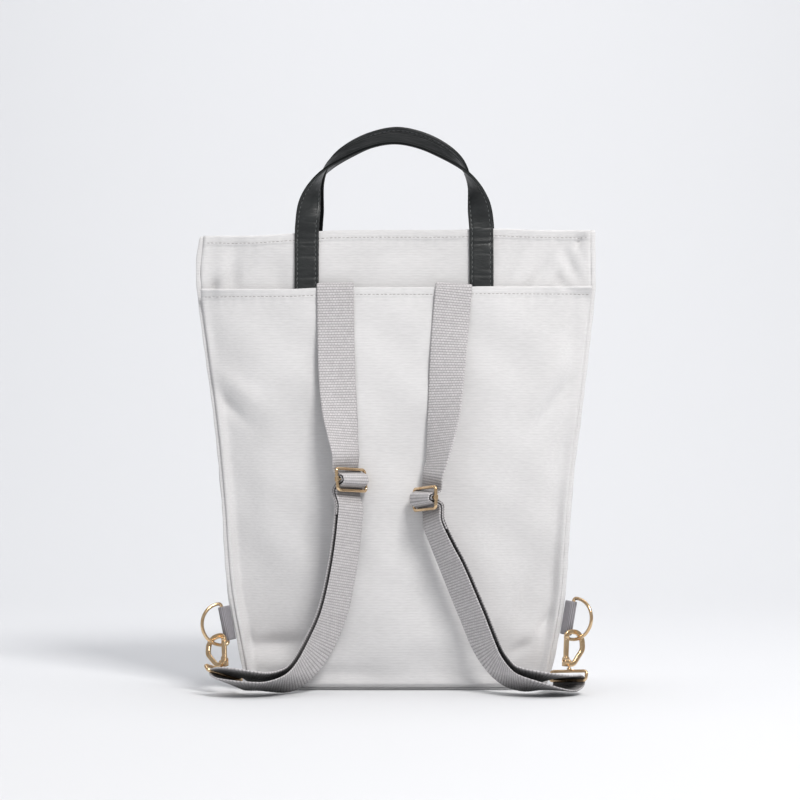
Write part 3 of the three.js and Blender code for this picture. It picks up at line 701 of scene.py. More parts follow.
def smoothed(rows: np.ndarray, spread: float) -> np.ndarray:
    """Smooths rows of values from row to row.

    Args:
        rows: The rows.
        spread: The bell curve's spread, in rows.

    Returns:
        The smooth rows.
    """
    weights, reach = kernel(spread)
    padded = np.pad(rows, ((reach, reach), (0, 0)), mode="edge")
    return np.stack([np.convolve(column, weights, "valid") for column in padded.T], axis=1)


class NodeShape:
    """A CAD node's points and triangles, joined where they meet; the node itself isn't touched."""

    def __init__(self, name: str) -> None:
        """Reads the node's mesh.

        Args:
            name: The CAD node.
        """
        mesh = frame["nodes"][name].data
        mesh.calc_loop_triangles()
        points = np.empty(len(mesh.vertices) * 3)
        mesh.vertices.foreach_get("co", points)
        corners = np.empty(len(mesh.loop_triangles) * 3, int)
        mesh.loop_triangles.foreach_get("vertices", corners)
        self.points, same = np.unique(np.round(points.reshape(-1, 3), 6), axis=0, return_inverse=True)
        self.triangles = same.ravel()[corners].reshape(-1, 3)
        pairs = np.concatenate([self.triangles[:, pair] for pair in ([0, 1], [1, 2], [2, 0])])
        self.edges = np.unique(np.sort(pairs, axis=1), axis=0)
        self.tree = BVHTree.FromPolygons(self.points.tolist(), self.triangles.tolist())
        self.low, self.high = self.points.min(axis=0), self.points.max(axis=0)

    def cut(self, axis: int, level: float) -> np.ndarray:
        """Finds where the node's edges cross a level.

        Args:
            axis: 0, 1 or 2.
            level: The place on it, in metres.

        Returns:
            The points.
        """
        a, b = self.points[self.edges[:, 0]], self.points[self.edges[:, 1]]
        crosses = (a[:, axis] - level) * (b[:, axis] - level) <= 0
        a, b = a[crosses], b[crosses]
        run = b[:, axis] - a[:, axis]
        share = np.divide(level - a[:, axis], run, out=np.zeros(len(a)), where=np.abs(run) > 1e-9)
        return a + (b - a) * share[:, None]

    def middle(self, point: np.ndarray, axis: int) -> float:
        """Finds the point half way between the first two surfaces that a line meets.

        Args:
            point: A point on the line that is followed.
            axis: The line's axis, 0, 1 or 2.

        Returns:
            The place on that axis, or nan where the line misses the node.
        """
        way = Vector((0, 0, 0))
        way[axis] = 1
        start = Vector(point)
        start[axis] = -1
        first = self.tree.ray_cast(start, way)[0]
        if first is None:
            return math.nan
        second = self.tree.ray_cast(first + way * 2e-5, way)[0]
        return math.nan if second is None else (first[axis] + second[axis]) / 2

    def rings(self) -> np.ndarray:
        """Finds the stations of a flat ribbon.

        Returns:
            The stations in order, as stations by 4 corners by 3.
        """
        near: list[set[int]] = [set() for _ in self.points]
        for a, b in self.edges.tolist():
            near[a].add(b)
            near[b].add(a)
        few = {i for i, others in enumerate(near) if len(others) < 6}
        layer = {min(few)}
        for _ in range(2):
            layer |= {j for i in layer for j in near[i] & few}
        seen, order = set(layer), [sorted(layer)]
        while True:
            layer = {j for i in order[-1] for j in near[i]} - seen
            if not layer:
                break
            seen |= layer
            order.append(sorted(layer))
        if any(len(ring) != 4 for ring in order):
            raise ValueError(f"a ribbon has stations of {sorted({len(ring) for ring in order})} corners")
        first = self.points[order[0]]
        long = np.argsort([np.linalg.norm(first[0] - p) for p in first])
        rings = [first[long]]
        for ring in order[1:]:
            corners = self.points[ring]
            rings.append(corners[self.match(rings[-1], corners)])
        return np.array(rings)

    @staticmethod
    def match(before: np.ndarray, corners: np.ndarray) -> list[int]:
        """Matches four corners to the four before them.

        Args:
            before: The last station's four corners.
            corners: The next station's, in any order.

        Returns:
            The order in which they follow.
        """
        best, found = math.inf, [0, 1, 2, 3]
        for a in range(4):
            for b in set(range(4)) - {a}:
                for c in set(range(4)) - {a, b}:
                    order = [a, b, c, 6 - a - b - c]
                    far = float(np.sum((corners[order] - before) ** 2))
                    if far < best:
                        best, found = far, order
        return found


class Ribbon:
    """A smooth ribbon through the stations of a CAD node."""

    rounds: int = 30
    ease: float = 8 * MM

    def __init__(self, node: str, step: float, lead: float = 0.0) -> None:
        """Reads the node.

        Args:
            node: The CAD node, a ribbon of four-cornered stations.
            step: How far apart the new stations are.
            lead: How much earlier than in the node the ribbon twists on its two legs.
        """
        rings = NodeShape(node).rings()
        centres = rings.mean(axis=1)
        face = (rings[:, 1] + rings[:, 3] - rings[:, 0] - rings[:, 2]) / 2
        across = (rings[:, 2] + rings[:, 3] - rings[:, 0] - rings[:, 1]) / 2
        if np.linalg.norm(face[0]) > np.linalg.norm(across[0]):
            face, across = across, face
        self.thickness = float(np.linalg.norm(face, axis=1).min())
        self.width = float(np.linalg.norm(across, axis=1).mean())
        steps = np.linalg.norm(np.diff(centres, axis=0), axis=1)
        keep = np.concatenate([[True], steps > 1e-5])
        places = np.concatenate([[0], np.cumsum(steps)])[keep]
        self.length = float(places[-1])
        self.at = np.linspace(0, self.length, max(int(round(self.length / step)), 8) + 1)
        self.centre = catmull(centres[keep], places, self.at)
        self.across = unit(catmull(unit(across[keep]), places, self.at))
        self.square()
        if lead:
            self.twist_earlier(lead)
        self.relax(self.ease / step)
        self.face = np.cross(self.along(), self.across)
        if float(np.sum(self.face[0] * face[0])) < 0:
            self.face = -self.face

    def twist_earlier(self, lead: float) -> None:
        """Lets both legs turn earlier, and leaves their feet as they are.

        Args:
            lead: How much earlier, in metres along the leg.
        """
        half = self.length / 2
        to_middle = np.abs(half - self.at)
        share = smoothstep(to_middle, 0, 2 * lead) * smoothstep(half - to_middle, 2.6 * lead, 4.4 * lead)
        places = self.at + lead * np.sign(half - self.at) * share
        turned_on = [np.interp(places, self.at, column) for column in self.across.T]
        self.across = unit(np.stack(turned_on, axis=1))
        self.square()

    def relax(self, reach: float) -> None:
        """Eases the places where the ribbon bends in its own plane more than cloth can.

        Args:
            reach: How many stations each place is eased over.
        """
        half = self.width / 2
        for _ in range(self.rounds):
            bend = np.abs(np.sum(np.gradient(self.along(), self.at, axis=0) * self.across, axis=1)) * half
            twist = np.linalg.norm(np.gradient(self.across, self.at, axis=0), axis=1) * half
            share = smoothed(smoothstep(np.maximum(bend, 0.8 * twist), 0.3, 0.8)[:, None], reach)
            share[: int(reach)] = share[-int(reach) :] = 0
            self.centre += share * 0.6 * (smoothed(self.centre, reach * 0.5) - self.centre)
            self.across = unit(self.across + share * (smoothed(self.across, reach) - self.across))
            self.square()

    def along(self) -> np.ndarray:
        """The way that the ribbon runs at each station."""
        return unit(np.gradient(self.centre, self.at, axis=0))

    def square(self) -> None:
        """Turns the cross direction square to the way that the ribbon runs."""
        along = self.along()
        self.across = unit(self.across - along * np.sum(self.across * along, axis=1, keepdims=True))

    def facing_away(self) -> float:
        """The sign of the ribbon's face that looks away from the bag at its start."""
        return float(np.sign(self.face[0, 1] * self.centre[0, 1]))

    def line(self, side: float, height: float) -> np.ndarray:
        """Points along the ribbon, that far from its middle line across it and off its middle surface."""
        return self.centre + self.across * side + self.face * height

    def skin(self, profile: np.ndarray, relief: np.ndarray | None = None) -> Shape:
        """Sweeps a closed profile along the ribbon.

        Args:
            profile: Points of the profile, as across and height.
            relief: Extra height away from the middle surface, as stations by points.

        Returns:
            The closed shape with its weave coordinates.
        """
        away = np.sign(profile[:, 1])[None, :] * (0 if relief is None else relief)
        height = profile[None, :, 1] + away
        points = self.centre[:, None] + self.across[:, None] * profile[None, :, :1]
        points = points + self.face[:, None] * height[..., None]
        weave = np.zeros(points.shape)
        weave[..., 0] = profile[None, :, 0]
        weave[..., 1] = self.at[:, None]
        weave[..., 2] = np.sign(profile[None, :, 1]) * self.facing_away()
        return loft(points, weave=weave)


def flat_profile(width: float, thickness: float, round_off: float, count: int) -> np.ndarray:
    """A flat bar's outline with rounded edges.

    Args:
        width: Its whole width.
        thickness: Its whole thickness.
        round_off: How wide the rounding is at each edge.
        count: How many steps each face has.

    Returns:
        The outline's points, as across and height.
    """
    share = np.linspace(-1, 1, count + 1)
    side = np.sin(share * math.pi / 2) * 0.35 + share * 0.65
    x = side * width / 2
    inwards = np.clip((width / 2 - np.abs(x)) / round_off, 0, 1)
    height = thickness / 2 * np.sqrt(np.maximum(1 - (1 - inwards) ** 2, 0.02))
    top = np.stack([x, height], axis=1)
    bottom = np.stack([x[::-1], -height[::-1]], axis=1)
    return np.concatenate([top, bottom])


@dataclass(frozen=True)
class Webbing:
    """A webbing ribbon with real cross ribs and thick selvedges."""

    node: str
    finish: bpy.types.Material
    rib_pitch: float = 2.7 * MM
    rib_depth: float = 0.08 * MM
    lump_pitch: float = 5.8 * MM
    steps_per_rib: int = 4
    steps_across: int = 26
    sag: float = 0.0
    edge_taper: tuple[float, float] = (0.6 * MM, 2.4 * MM)

    @staticmethod
    def slack(out: np.ndarray, up: np.ndarray) -> np.ndarray:
        """Says how freely the webbing sinks to the floor.

        Args:
            out: How far the places are from the bag's middle.
            up: How high they are.

        Returns:
            From 0 to 1: 1 beside the bag, and 0 at the hook and up the bag's wall.
        """
        low = 1 - smoothstep(up, 20 * MM, 60 * MM)
        return low * smoothstep(out, 45 * MM, 105 * MM) * (1 - smoothstep(out, 112 * MM, 182 * MM))

    def dress(self) -> bpy.types.Object:
        """Builds the ribbon in place of its CAD node.

        Returns:
            The ribbon.
        """
        ribbon = Ribbon(self.node, self.rib_pitch / self.steps_per_rib)
        ribbon.centre[:, 2] -= self.sag * self.slack(np.abs(ribbon.centre[:, 0]), ribbon.centre[:, 2])
        profile = flat_profile(ribbon.width, ribbon.thickness - self.rib_depth, 1.1 * MM, self.steps_across)
        along = ribbon.at[:, None] / self.rib_pitch
        row = np.floor(along)
        lumps = np.cos(2 * math.pi * profile[None, :, 0] / self.lump_pitch + math.pi * row)
        edge = 1 - smoothstep(ribbon.width / 2 - np.abs(profile[None, :, 0]), *self.edge_taper)
        bead = np.cos(math.pi * along) * np.sign(profile[None, :, 1])
        ribs = -np.cos(2 * math.pi * along + 0.35 * lumps)
        relief = self.rib_depth * (ribs * (0.7 + 0.4 * lumps) + (0.6 + 0.9 * bead) * edge)
        return add_piece(self.node, "webbing", ribbon.skin(profile, relief), self.finish)


@dataclass(frozen=True)
class Stitches:
    """A row of stitches along a line, each a short thread that lies along it."""

    name: str
    finish: bpy.types.Material
    slot: Slot
    pitch: float = 4.2 * MM
    length: float = 3.1 * MM
    radius: float = 0.36 * MM
    tilt: float = 0.14
    group_inputs: tuple[tuple[str, str], ...] = (
        ("Line", "Geometry"),
        ("Pitch", "Float"),
        ("Length", "Float"),
        ("Radius", "Float"),
        ("Tilt", "Float"),
        ("Seed", "Int"),
        ("Thread", "Material"),
    )

    def group(self) -> bpy.types.NodeTree:
        """Makes the Geometry Nodes group that puts a thread at each step of a curve.

        Returns:
            The group.
        """
        known = bpy.data.node_groups.get("Stitch row")
        if known:
            return known
        tree = bpy.data.node_groups.new("Stitch row", "GeometryNodeTree")
        for name, kind in self.group_inputs:
            tree.interface.new_socket(name, in_out="INPUT", socket_type=f"NodeSocket{kind}")
        tree.interface.new_socket("Stitches", in_out="OUTPUT", socket_type="NodeSocketGeometry")
        given = add_node(tree, "NodeGroupInput").outputs

        def first(kind: str, inputs: dict[str | int, Any], **settings: Any) -> bpy.types.NodeSocket:
            """Adds a node and gives its first output."""
            return add_node(tree, kind, settings, inputs).outputs[0]

        curve = first("GeometryNodeMeshToCurve", {"Mesh": given["Line"]})
        row = first("GeometryNodeResampleCurve", {"Curve": curve, "Length": given["Pitch"]}, mode="LENGTH")
        pill = first("GeometryNodeMeshUVSphere", {"Segments": 8, "Rings": 6, "Radius": 1.0})
        half = first("ShaderNodeMath", {0: given["Length"], 1: 0.5}, operation="MULTIPLY")
        size = first("ShaderNodeCombineXYZ", {"X": given["Radius"], "Y": given["Radius"], "Z": half})
        thread = first("GeometryNodeTransform", {"Geometry": pill, "Scale": size})
        stray = first("FunctionNodeRandomValue", {"Seed": given["Seed"]}, data_type="FLOAT_VECTOR")
        centred = first("ShaderNodeVectorMath", {0: stray, 1: (0.5, 0.5, 0.5)}, operation="SUBTRACT")
        scaled = first("ShaderNodeVectorMath", {0: centred, "Scale": given["Tilt"]}, operation="SCALE")
        tangent = first("GeometryNodeInputTangent", {})
        way = first("ShaderNodeVectorMath", {0: tangent, 1: scaled}, operation="ADD")
        turn = first("FunctionNodeAlignRotationToVector", {"Vector": way}, axis="Z")
        placed = first("GeometryNodeInstanceOnPoints", {"Points": row, "Instance": thread, "Rotation": turn})
        smooth = first("GeometryNodeSetShadeSmooth", {0: first("GeometryNodeRealizeInstances", {0: placed})})
        painted = first("GeometryNodeSetMaterial", {"Geometry": smooth, "Material": given["Thread"]})
        add_node(tree, "NodeGroupOutput", None, {"Stitches": painted})
        return tree

    def sew(self, lines: list[np.ndarray]) -> bpy.types.Object:
        """Sews along lines of points, and leaves one plain mesh.

        Args:
            lines: The rows, each as points in metres.

        Returns:
            The stitches.
        """
        mesh = bpy.data.meshes.new(self.name)
        points, edges = [], []
        for line in lines:
            edges += [(len(points) + i, len(points) + i + 1) for i in range(len(line) - 1)]
            points += line.tolist()
        mesh.from_pydata(points, edges, [])
        obj = bpy.data.objects.new(self.name, mesh)
        bpy.context.scene.collection.objects.link(obj)
        tree = self.group()
        modifier = obj.modifiers.new("Stitch row", "NODES")
        modifier.node_group = tree
        values = {
            "Pitch": self.pitch,
            "Length": self.length,
            "Radius": self.radius,
            "Tilt": self.tilt,
            "Seed": SEED,
            "Thread": self.finish,
        }
        for item in tree.interface.items_tree:
            if item.in_out == "INPUT" and item.name in values:
                modifier[item.identifier] = values[item.name]
        bpy.context.view_layer.update()
        shown = obj.evaluated_get(bpy.context.evaluated_depsgraph_get())
        obj.data = bpy.data.meshes.new_from_object(shown)
        obj.modifiers.clear()
        if not obj.data.materials:
            obj.data.materials.append(self.finish)
        settle(obj, "pack")
        log.info("%s: %d faces", self.name, len(obj.data.polygons))
        return obj


@dataclass(frozen=True)
class Fold:
    """A soft fold of a wall: a long dent, or a ridge where deep is negative. Millimetres and degrees."""

    x: float
    z: float
    turn: float
    long: float
    wide: float
    deep: float


FOLDS = (
    Fold(-170, 284, -42, 26, 6, 3.8),
    Fold(-158, 300, -38, 30, 9, -2.8),
    Fold(-184, 262, -55, 24, 8, -2.1),
    Fold(160, 290, 55, 30, 6, 4.1),
    Fold(148, 300, 60, 30, 9, -2.5),
    Fold(-118, 46, 3, 42, 8, 6.6),
    Fold(-110, 26, 2, 52, 8, -3.6),
    Fold(-153, 46, 62, 17, 5, 4.7),
    Fold(124, 43, 32, 15, 6, 4.7),
    Fold(147, 66, 55, 15, 5, 4.1),
    Fold(136, 54, 45, 18, 6, -2.2),
    Fold(-165, 425, 80, 26, 9, 3.0),
    Fold(-178, 430, 84, 30, 8, -2.1),
    Fold(175, 428, 86, 26, 8, 2.5),
    Fold(186, 452, 60, 9, 3, 5.6),
    Fold(-60, 140, 75, 60, 22, 3.0),
    Fold(40, 110, 105, 60, 24, 3.0),
    Fold(110, 170, 65, 55, 16, 2.5),
    Fold(-150, 190, 100, 60, 14, 2.5),
    Fold(-186, 402, 62, 10, 4, 2.4),
    Fold(-150, 430, 76, 22, 6, 1.6),
    Fold(-128, 428, 98, 22, 8, -1.2),
    Fold(168, 408, 128, 12, 5, 2.0),
    Fold(152, 424, 60, 18, 6, 1.2),
    Fold(188, 440, 110, 18, 4, 1.8),
    Fold(120, 330, 80, 60, 20, 1.5),
    Fold(-120, 330, 96, 70, 20, 1.6),
    Fold(-168, 215, 96, 60, 9, 1.8),
    Fold(-188, 345, 92, 30, 5, 1.4),
    Fold(176, 345, 86, 40, 6, 1.4),
    Fold(160, 215, 84, 50, 9, 1.6),
    Fold(130, 96, 70, 30, 10, 2.0),
    Fold(60, 36, 5, 50, 12, 2.2),
    Fold(-196, 165, 94, 160, 36, 5.5),
    Fold(190, 170, 86, 150, 30, 4.5),
    Fold(0, 8, 0, 190, 26, 4.0),
    Fold(-154, 84, 0, 60, 82, 10.5),
    Fold(142, 104, 0, 58, 84, 8.0),
)


MOUTH_FOLDS = (
    Fold(-166, 410, 80, 15, 8, 3.6),
    Fold(-186, 404, 70, 9, 4, 3.0),
    Fold(-176, 436, 50, 22, 7, 2.0),
    Fold(-124, 420, 104, 26, 9, 1.9),
    Fold(112, 424, 62, 34, 7, 3.2),
    Fold(142, 414, 60, 24, 6, 3.0),
    Fold(163, 408, 78, 14, 5, 3.2),
    Fold(176, 428, 118, 22, 5, 2.4),
    Fold(0, 440, 8, 60, 9, 1.4),
)


def soft_folds(x: np.ndarray, z: np.ndarray, folds: tuple[Fold, ...]) -> np.ndarray:
    """Finds how far folds and a slow unevenness push the cloth in.

    Args:
        x: The places across, in metres.
        z: Their heights, in metres.
        folds: The folds.

    Returns:
        The depths, in metres.
    """
    depth = np.zeros(np.broadcast(x, z).shape)
    for fold in folds:
        turn = math.radians(fold.turn)
        dx, dz = x / MM - fold.x, z / MM - fold.z
        long = (dx * math.cos(turn) + dz * math.sin(turn)) / fold.long
        wide = (dz * math.cos(turn) - dx * math.sin(turn)) / fold.wide
        depth += fold.deep * MM * np.exp(-(long**2) - wide**2)
    return depth + uneven(x, z, 0.7 * MM, SWELL, SEED)


def uneven(x: np.ndarray, z: np.ndarray, height: float, size: float, seed: int) -> np.ndarray:
    """Makes a slow, random unevenness.

    Args:
        x: The places across, in metres.
        z: Their heights, in metres.
        height: About how high it stands.
        size: About how wide its swells are.
        seed: Its random draws' seed.

    Returns:
        The heights, in metres.
    """
    rng = np.random.default_rng(seed)
    total = np.zeros(np.broadcast(x, z).shape)
    for _ in range(9):
        angle, phase = rng.uniform(0, 2 * math.pi, 2)
        wave = 2 * math.pi / (size * rng.uniform(0.6, 1.6))
        total += np.sin(wave * (x * math.cos(angle) + z * math.sin(angle)) + phase)
    return height * total / 2


@dataclass
class CanvasWall:
    """A cloth wall over the middle surface of its CAD node, with a folded and sewn top hem."""

    node: str
    finish: bpy.types.Material
    axis: int
    facing: int
    folds: tuple[Fold, ...] = ()
    cloth: float = 1.8 * MM
    hem: float = 3.4 * MM
    hem_height: float = 9 * MM
    cell: float = 3 * MM
    facet: float = 8 * MM
    pucker: float = 0.32 * MM
    pucker_pitch: float = 9 * MM
    pucker_reach: float = 6 * MM
    tuck: float = 0.5 * MM
    hem_ease: float = 1.2 * MM
    stitch_above: float = 1.4 * MM
    stitch_spread: float = 0.8 * MM
    stitch_pull: float = 0.28 * MM
    hem_rows: tuple[float, ...] = (
        0, 0.12, 0.3, 0.6, 1.0, 1.7, 2.6, 4.2, 5.6, 6.6, 7.2, 7.8, 8.4, 9.2, 10.2, 11.6,
    )
    flat: tuple[float, float] = field(default=(0.0, 0.0), init=False)

    def __post_init__(self) -> None:
        """Finds the wall's middle surface on an even grid."""
        shape = NodeShape(self.node)
        wide = 1 - self.axis
        levels = np.linspace(shape.low[2] + 0.2 * MM, shape.high[2] - 12 * MM, 90)
        cuts = [shape.cut(2, z)[:, wide] for z in levels]
        starts, ends = np.array([c.min() for c in cuts]), np.array([c.max() for c in cuts])
        across = np.linspace(starts.max() + MM, ends.min() - MM, 60)
        tops = np.array([shape.cut(wide, at)[:, 2].max() for at in across])
        columns = int(round((ends.max() - starts.min()) / self.cell))
        rows = int(round((shape.high[2] - shape.low[2]) / self.cell))
        s, t = np.linspace(0, 1, columns + 1)[:, None], np.linspace(0, 1, rows + 1)[None, :]
        z = shape.low[2] + t * (shape.high[2] - shape.low[2]) + 0 * s
        for _ in range(3):
            edge = np.interp(z, levels, starts)
            w = edge - self.tuck + s * (np.interp(z, levels, ends) - edge + 2 * self.tuck)
            z = shape.low[2] + t * (np.interp(w, across, tops) - shape.low[2])
        inside = 0.9 * MM
        deep = np.empty(w.shape)
        for i in range(w.shape[0]):
            for j in range(w.shape[1]):
                level = min(max(z[i, j], shape.low[2] + inside), z[i, -1] - inside)
                low = np.interp(level, levels, starts) + inside
                high = np.interp(level, levels, ends) - inside
                spot = np.zeros(3)
                spot[wide], spot[2] = min(max(w[i, j], low), high), level
                deep[i, j] = shape.middle(spot, self.axis)
        deep = self.filled(deep)
        deep = blur(deep, self.facet / self.cell)
        if self.folds:
            dents = soft_folds(w, z, self.folds)
        else:
            dents = uneven(w, z, 0.5 * MM, SWELL, SEED + self.facing)
        rim = smoothstep(np.minimum(s, 1 - s) * (ends.max() - starts.min()), 0, 12 * MM)
        deep = deep - self.facing * dents * rim * smoothstep(z, 4 * MM, 20 * MM)
        self.grid = np.zeros(w.shape + (3,))
        self.grid[..., wide], self.grid[..., self.axis], self.grid[..., 2] = w, deep, z
        out = np.cross(np.gradient(self.grid, axis=0), np.gradient(self.grid, axis=1))
        out *= self.facing * np.sign(np.sum(out[..., self.axis]))
        self.normals = unit(out)
        self.tall = float(self.grid[0, -1, 2] - self.grid[0, 0, 2])

    @staticmethod
    def filled(grid: np.ndarray) -> np.ndarray:
        """Fills a grid's gaps from the places beside them.

        Args:
            grid: The numbers, with nan in the gaps.

        Returns:
            The same grid without gaps.
        """
        for j in range(grid.shape[1]):
            good = ~np.isnan(grid[:, j])
            if good.any():
                grid[:, j] = np.interp(np.arange(len(grid)), np.nonzero(good)[0], grid[good, j])
        for i in range(grid.shape[0]):
            good = ~np.isnan(grid[i])
            grid[i] = np.interp(np.arange(grid.shape[1]), np.nonzero(good)[0], grid[i, good])
        return grid

    def read(self, grid: np.ndarray, s: np.ndarray, t: np.ndarray) -> np.ndarray:
        """Reads a grid between its points.

        Args:
            grid: Values at even steps.
            s: The places across, from 0 to 1.
            t: The places up, from 0 to 1.

        Returns:
            The values there.
        """
        a, b = s * (grid.shape[0] - 1), t * (grid.shape[1] - 1)
        i, j = np.minimum(a.astype(int), grid.shape[0] - 2), np.minimum(b.astype(int), grid.shape[1] - 2)
        u, v = (a - i)[..., None], (b - j)[..., None]
        low = grid[i, j] * (1 - u) + grid[i + 1, j] * u
        high = grid[i, j + 1] * (1 - u) + grid[i + 1, j + 1] * u
        return low * (1 - v) + high * v

    def half_thickness(self, below_top: np.ndarray) -> np.ndarray:
        """Finds half the cloth's thickness, with the hem's fold, round edge and pull of the stitches.

        Args:
            below_top: How far the places are below the top edge.

        Returns:
            Half the thickness there.
        """
        hem = 1 - smoothstep(below_top, self.hem_height, self.hem_height + self.hem_ease)
        half = (self.cloth + (self.hem - self.cloth) * hem) / 2
        edge = np.clip(below_top / half, 0, 1)
        line = bell(below_top - self.hem_height + self.stitch_above, self.stitch_spread)
        return half * np.sqrt(np.maximum(1 - (1 - edge) ** 2, 0.01)) - self.stitch_pull * line

    def outer(self, s: np.ndarray, t: np.ndarray) -> tuple[np.ndarray, np.ndarray, np.ndarray]:
        """Reads the wall at places.

        Args:
            s: The places across, from 0 to 1.
            t: The places up, from 0 to 1.

        Returns:
            The points of the middle surface, its normals and half the thickness.
        """
        middle, normal = self.read(self.grid, s, t), unit(self.read(self.normals, s, t))
        below = self.read(self.grid, s, np.ones_like(t))[..., 2] - middle[..., 2]
        along = s * (self.grid[-1, -1, 1 - self.axis] - self.grid[0, -1, 1 - self.axis])
        gather = np.sin(2 * math.pi * along / self.pucker_pitch + 1.7 * np.sin(along / (23 * MM)))
        near = bell(below - self.hem_height, self.pucker_reach)
        half = self.half_thickness(below)
        return middle + normal * (self.pucker * gather * near)[..., None], normal, half

    def shell(self) -> Shape:
        """Builds the closed wall and keeps its flat size.

        Returns:
            The wall.
        """
        rim = np.array(self.hem_rows) * MM
        step = self.cell / self.tall
        t = np.concatenate([np.arange(0, 1 - 12 * MM / self.tall, step), 1 - rim[::-1] / self.tall])
        t = t[np.concatenate([[True], np.diff(t) > 0])]
        s, t = np.broadcast_arrays(np.linspace(0, 1, self.grid.shape[0])[:, None], t[None, :])
        middle, normal, half = self.outer(s, t)
        near, far = middle + normal * half[..., None], middle - normal * half[..., None]
        self.flat = (
            float(np.linalg.norm(np.diff(middle, axis=0), axis=-1).sum(axis=0).max()),
            float(np.linalg.norm(np.diff(middle, axis=1), axis=-1).sum(axis=1).max()),
        )
        n, m = s.shape
        index = np.arange(n * m).reshape(n, m)
        faces: list[tuple[int, ...]] = []
        for layer, flip in ((index, False), (index + n * m, True)):
            quads = np.stack([layer[:-1, :-1], layer[1:, :-1], layer[1:, 1:], layer[:-1, 1:]], axis=-1)
            faces += [tuple(q[::-1]) if flip else tuple(q) for q in quads.reshape(-1, 4).tolist()]
        border = np.concatenate([index[:, 0], index[-1, 1:], index[-2::-1, -1], index[0, -2:0:-1]]).tolist()
        for a, b in zip(border, border[1:] + border[:1]):
            faces.append((b, a, a + n * m, b + n * m))
        return Shape(np.concatenate([near.reshape(-1, 3), far.reshape(-1, 3)]), faces).outwards()

    def dress(self) -> bpy.types.Object:
        """Returns:
            The wall.
        """
        obj = add_piece(self.node, "cloth", self.shell(), self.finish)
        return obj

    def seam_line(
        self, below_top: float = 7.6 * MM, margin: float = 0.012, off: float = 0.05 * MM
    ) -> np.ndarray:
        """Draws a level line on the outer face.

        Args:
            below_top: How far below the top edge it runs.
            margin: How far from the sides it ends, as a share.
            off: How far it lies off the cloth.

        Returns:
            The line's points.
        """
        s = np.linspace(margin, 1 - margin, 400)
        t = np.full_like(s, 1 - below_top / self.tall)
        middle, normal, half = self.outer(s, t)
        return middle + normal * (half + off)[..., None]


@dataclass(frozen=True)
class SideSeam:
    """A raised side seam: a soft ridge of folded cloth over its CAD node."""

    node: str
    finish: bpy.types.Material
    width: float = 5 * MM
    depth: float = 3.2 * MM
    rise: float = 3 * MM
    step: float = 3 * MM

    def dress(self) -> bpy.types.Object:
        """Builds the ridge in place of its CAD node.

        Returns:
            The ridge.
        """
        shape = NodeShape(self.node)
        levels = np.linspace(shape.low[2] + 0.3 * MM, shape.high[2] - 0.3 * MM, 24)
        spots = []
        for level in levels:
            cut = shape.cut(2, level)
            spots.append((cut.min(axis=0) + cut.max(axis=0)) / 2)
        spots.append(spots[-1] + (spots[-1] - spots[-2]) * self.rise / (levels[1] - levels[0]))
        places = np.append(levels, levels[-1] + self.rise) - levels[0]
        at = np.linspace(0, places[-1], int(places[-1] / self.step))
        centre = catmull(np.array(spots), places, at)
        turn = np.linspace(0, 2 * math.pi, 20, endpoint=False)
        x = np.sign(np.cos(turn)) * np.abs(np.cos(turn)) ** 0.7 * self.width / 2
        y = np.sign(np.sin(turn)) * np.abs(np.sin(turn)) ** 0.7 * self.depth / 2
        swell = 1 + 0.08 * np.sin(at / (4.5 * MM))[:, None] + 0.05 * np.sin(at / (17 * MM))[:, None]
        rings = np.repeat(centre[:, None], len(turn), axis=1)
        rings[..., 0] += x[None] * swell
        rings[..., 1] += y[None] * swell
        ends = np.minimum(np.arange(len(at)), np.arange(len(at))[::-1])
        closing = np.where(ends == 0, 0.6, 1.0)[:, None, None]
        rings = centre[:, None] + (rings - centre[:, None]) * closing
        return add_piece(self.node, "ridge", loft(rings), self.finish)


@dataclass(frozen=True)
class BasePanel:
    """The bag's floor: a flat cloth with soft edges."""

    finish: bpy.types.Material
    node: str = "base_panel"
    corner: float = 6 * MM
    soft: float = 1.1 * MM

    def dress(self) -> bpy.types.Object:
        """Builds the floor in place of its CAD node.

        Returns:
            The floor.
        """
        low, high = (np.array(corner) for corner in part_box(self.node))
        half = (high - low) / 2
        middle = (low + high) / 2
        shape = round_outline(half[0], half[1], self.corner, 7)
        steps = (0.02, 0.5, 0.985)
        rings = []
        for share in steps:
            rings.append(np.column_stack([shape * share, np.full(len(shape), -half[2])]))
        for angle in np.radians([-60, -30, 0, 30, 60]):
            inset = 1 - self.soft * (1 - math.cos(angle)) / half[1]
            rings.append(np.column_stack([shape * inset, np.full(len(shape), half[2] * math.sin(angle))]))
        for share in reversed(steps):
            rings.append(np.column_stack([shape * share, np.full(len(shape), half[2])]))
        obj = add_piece(self.node, "cloth", loft(np.array(rings) + middle), self.finish)
        return obj


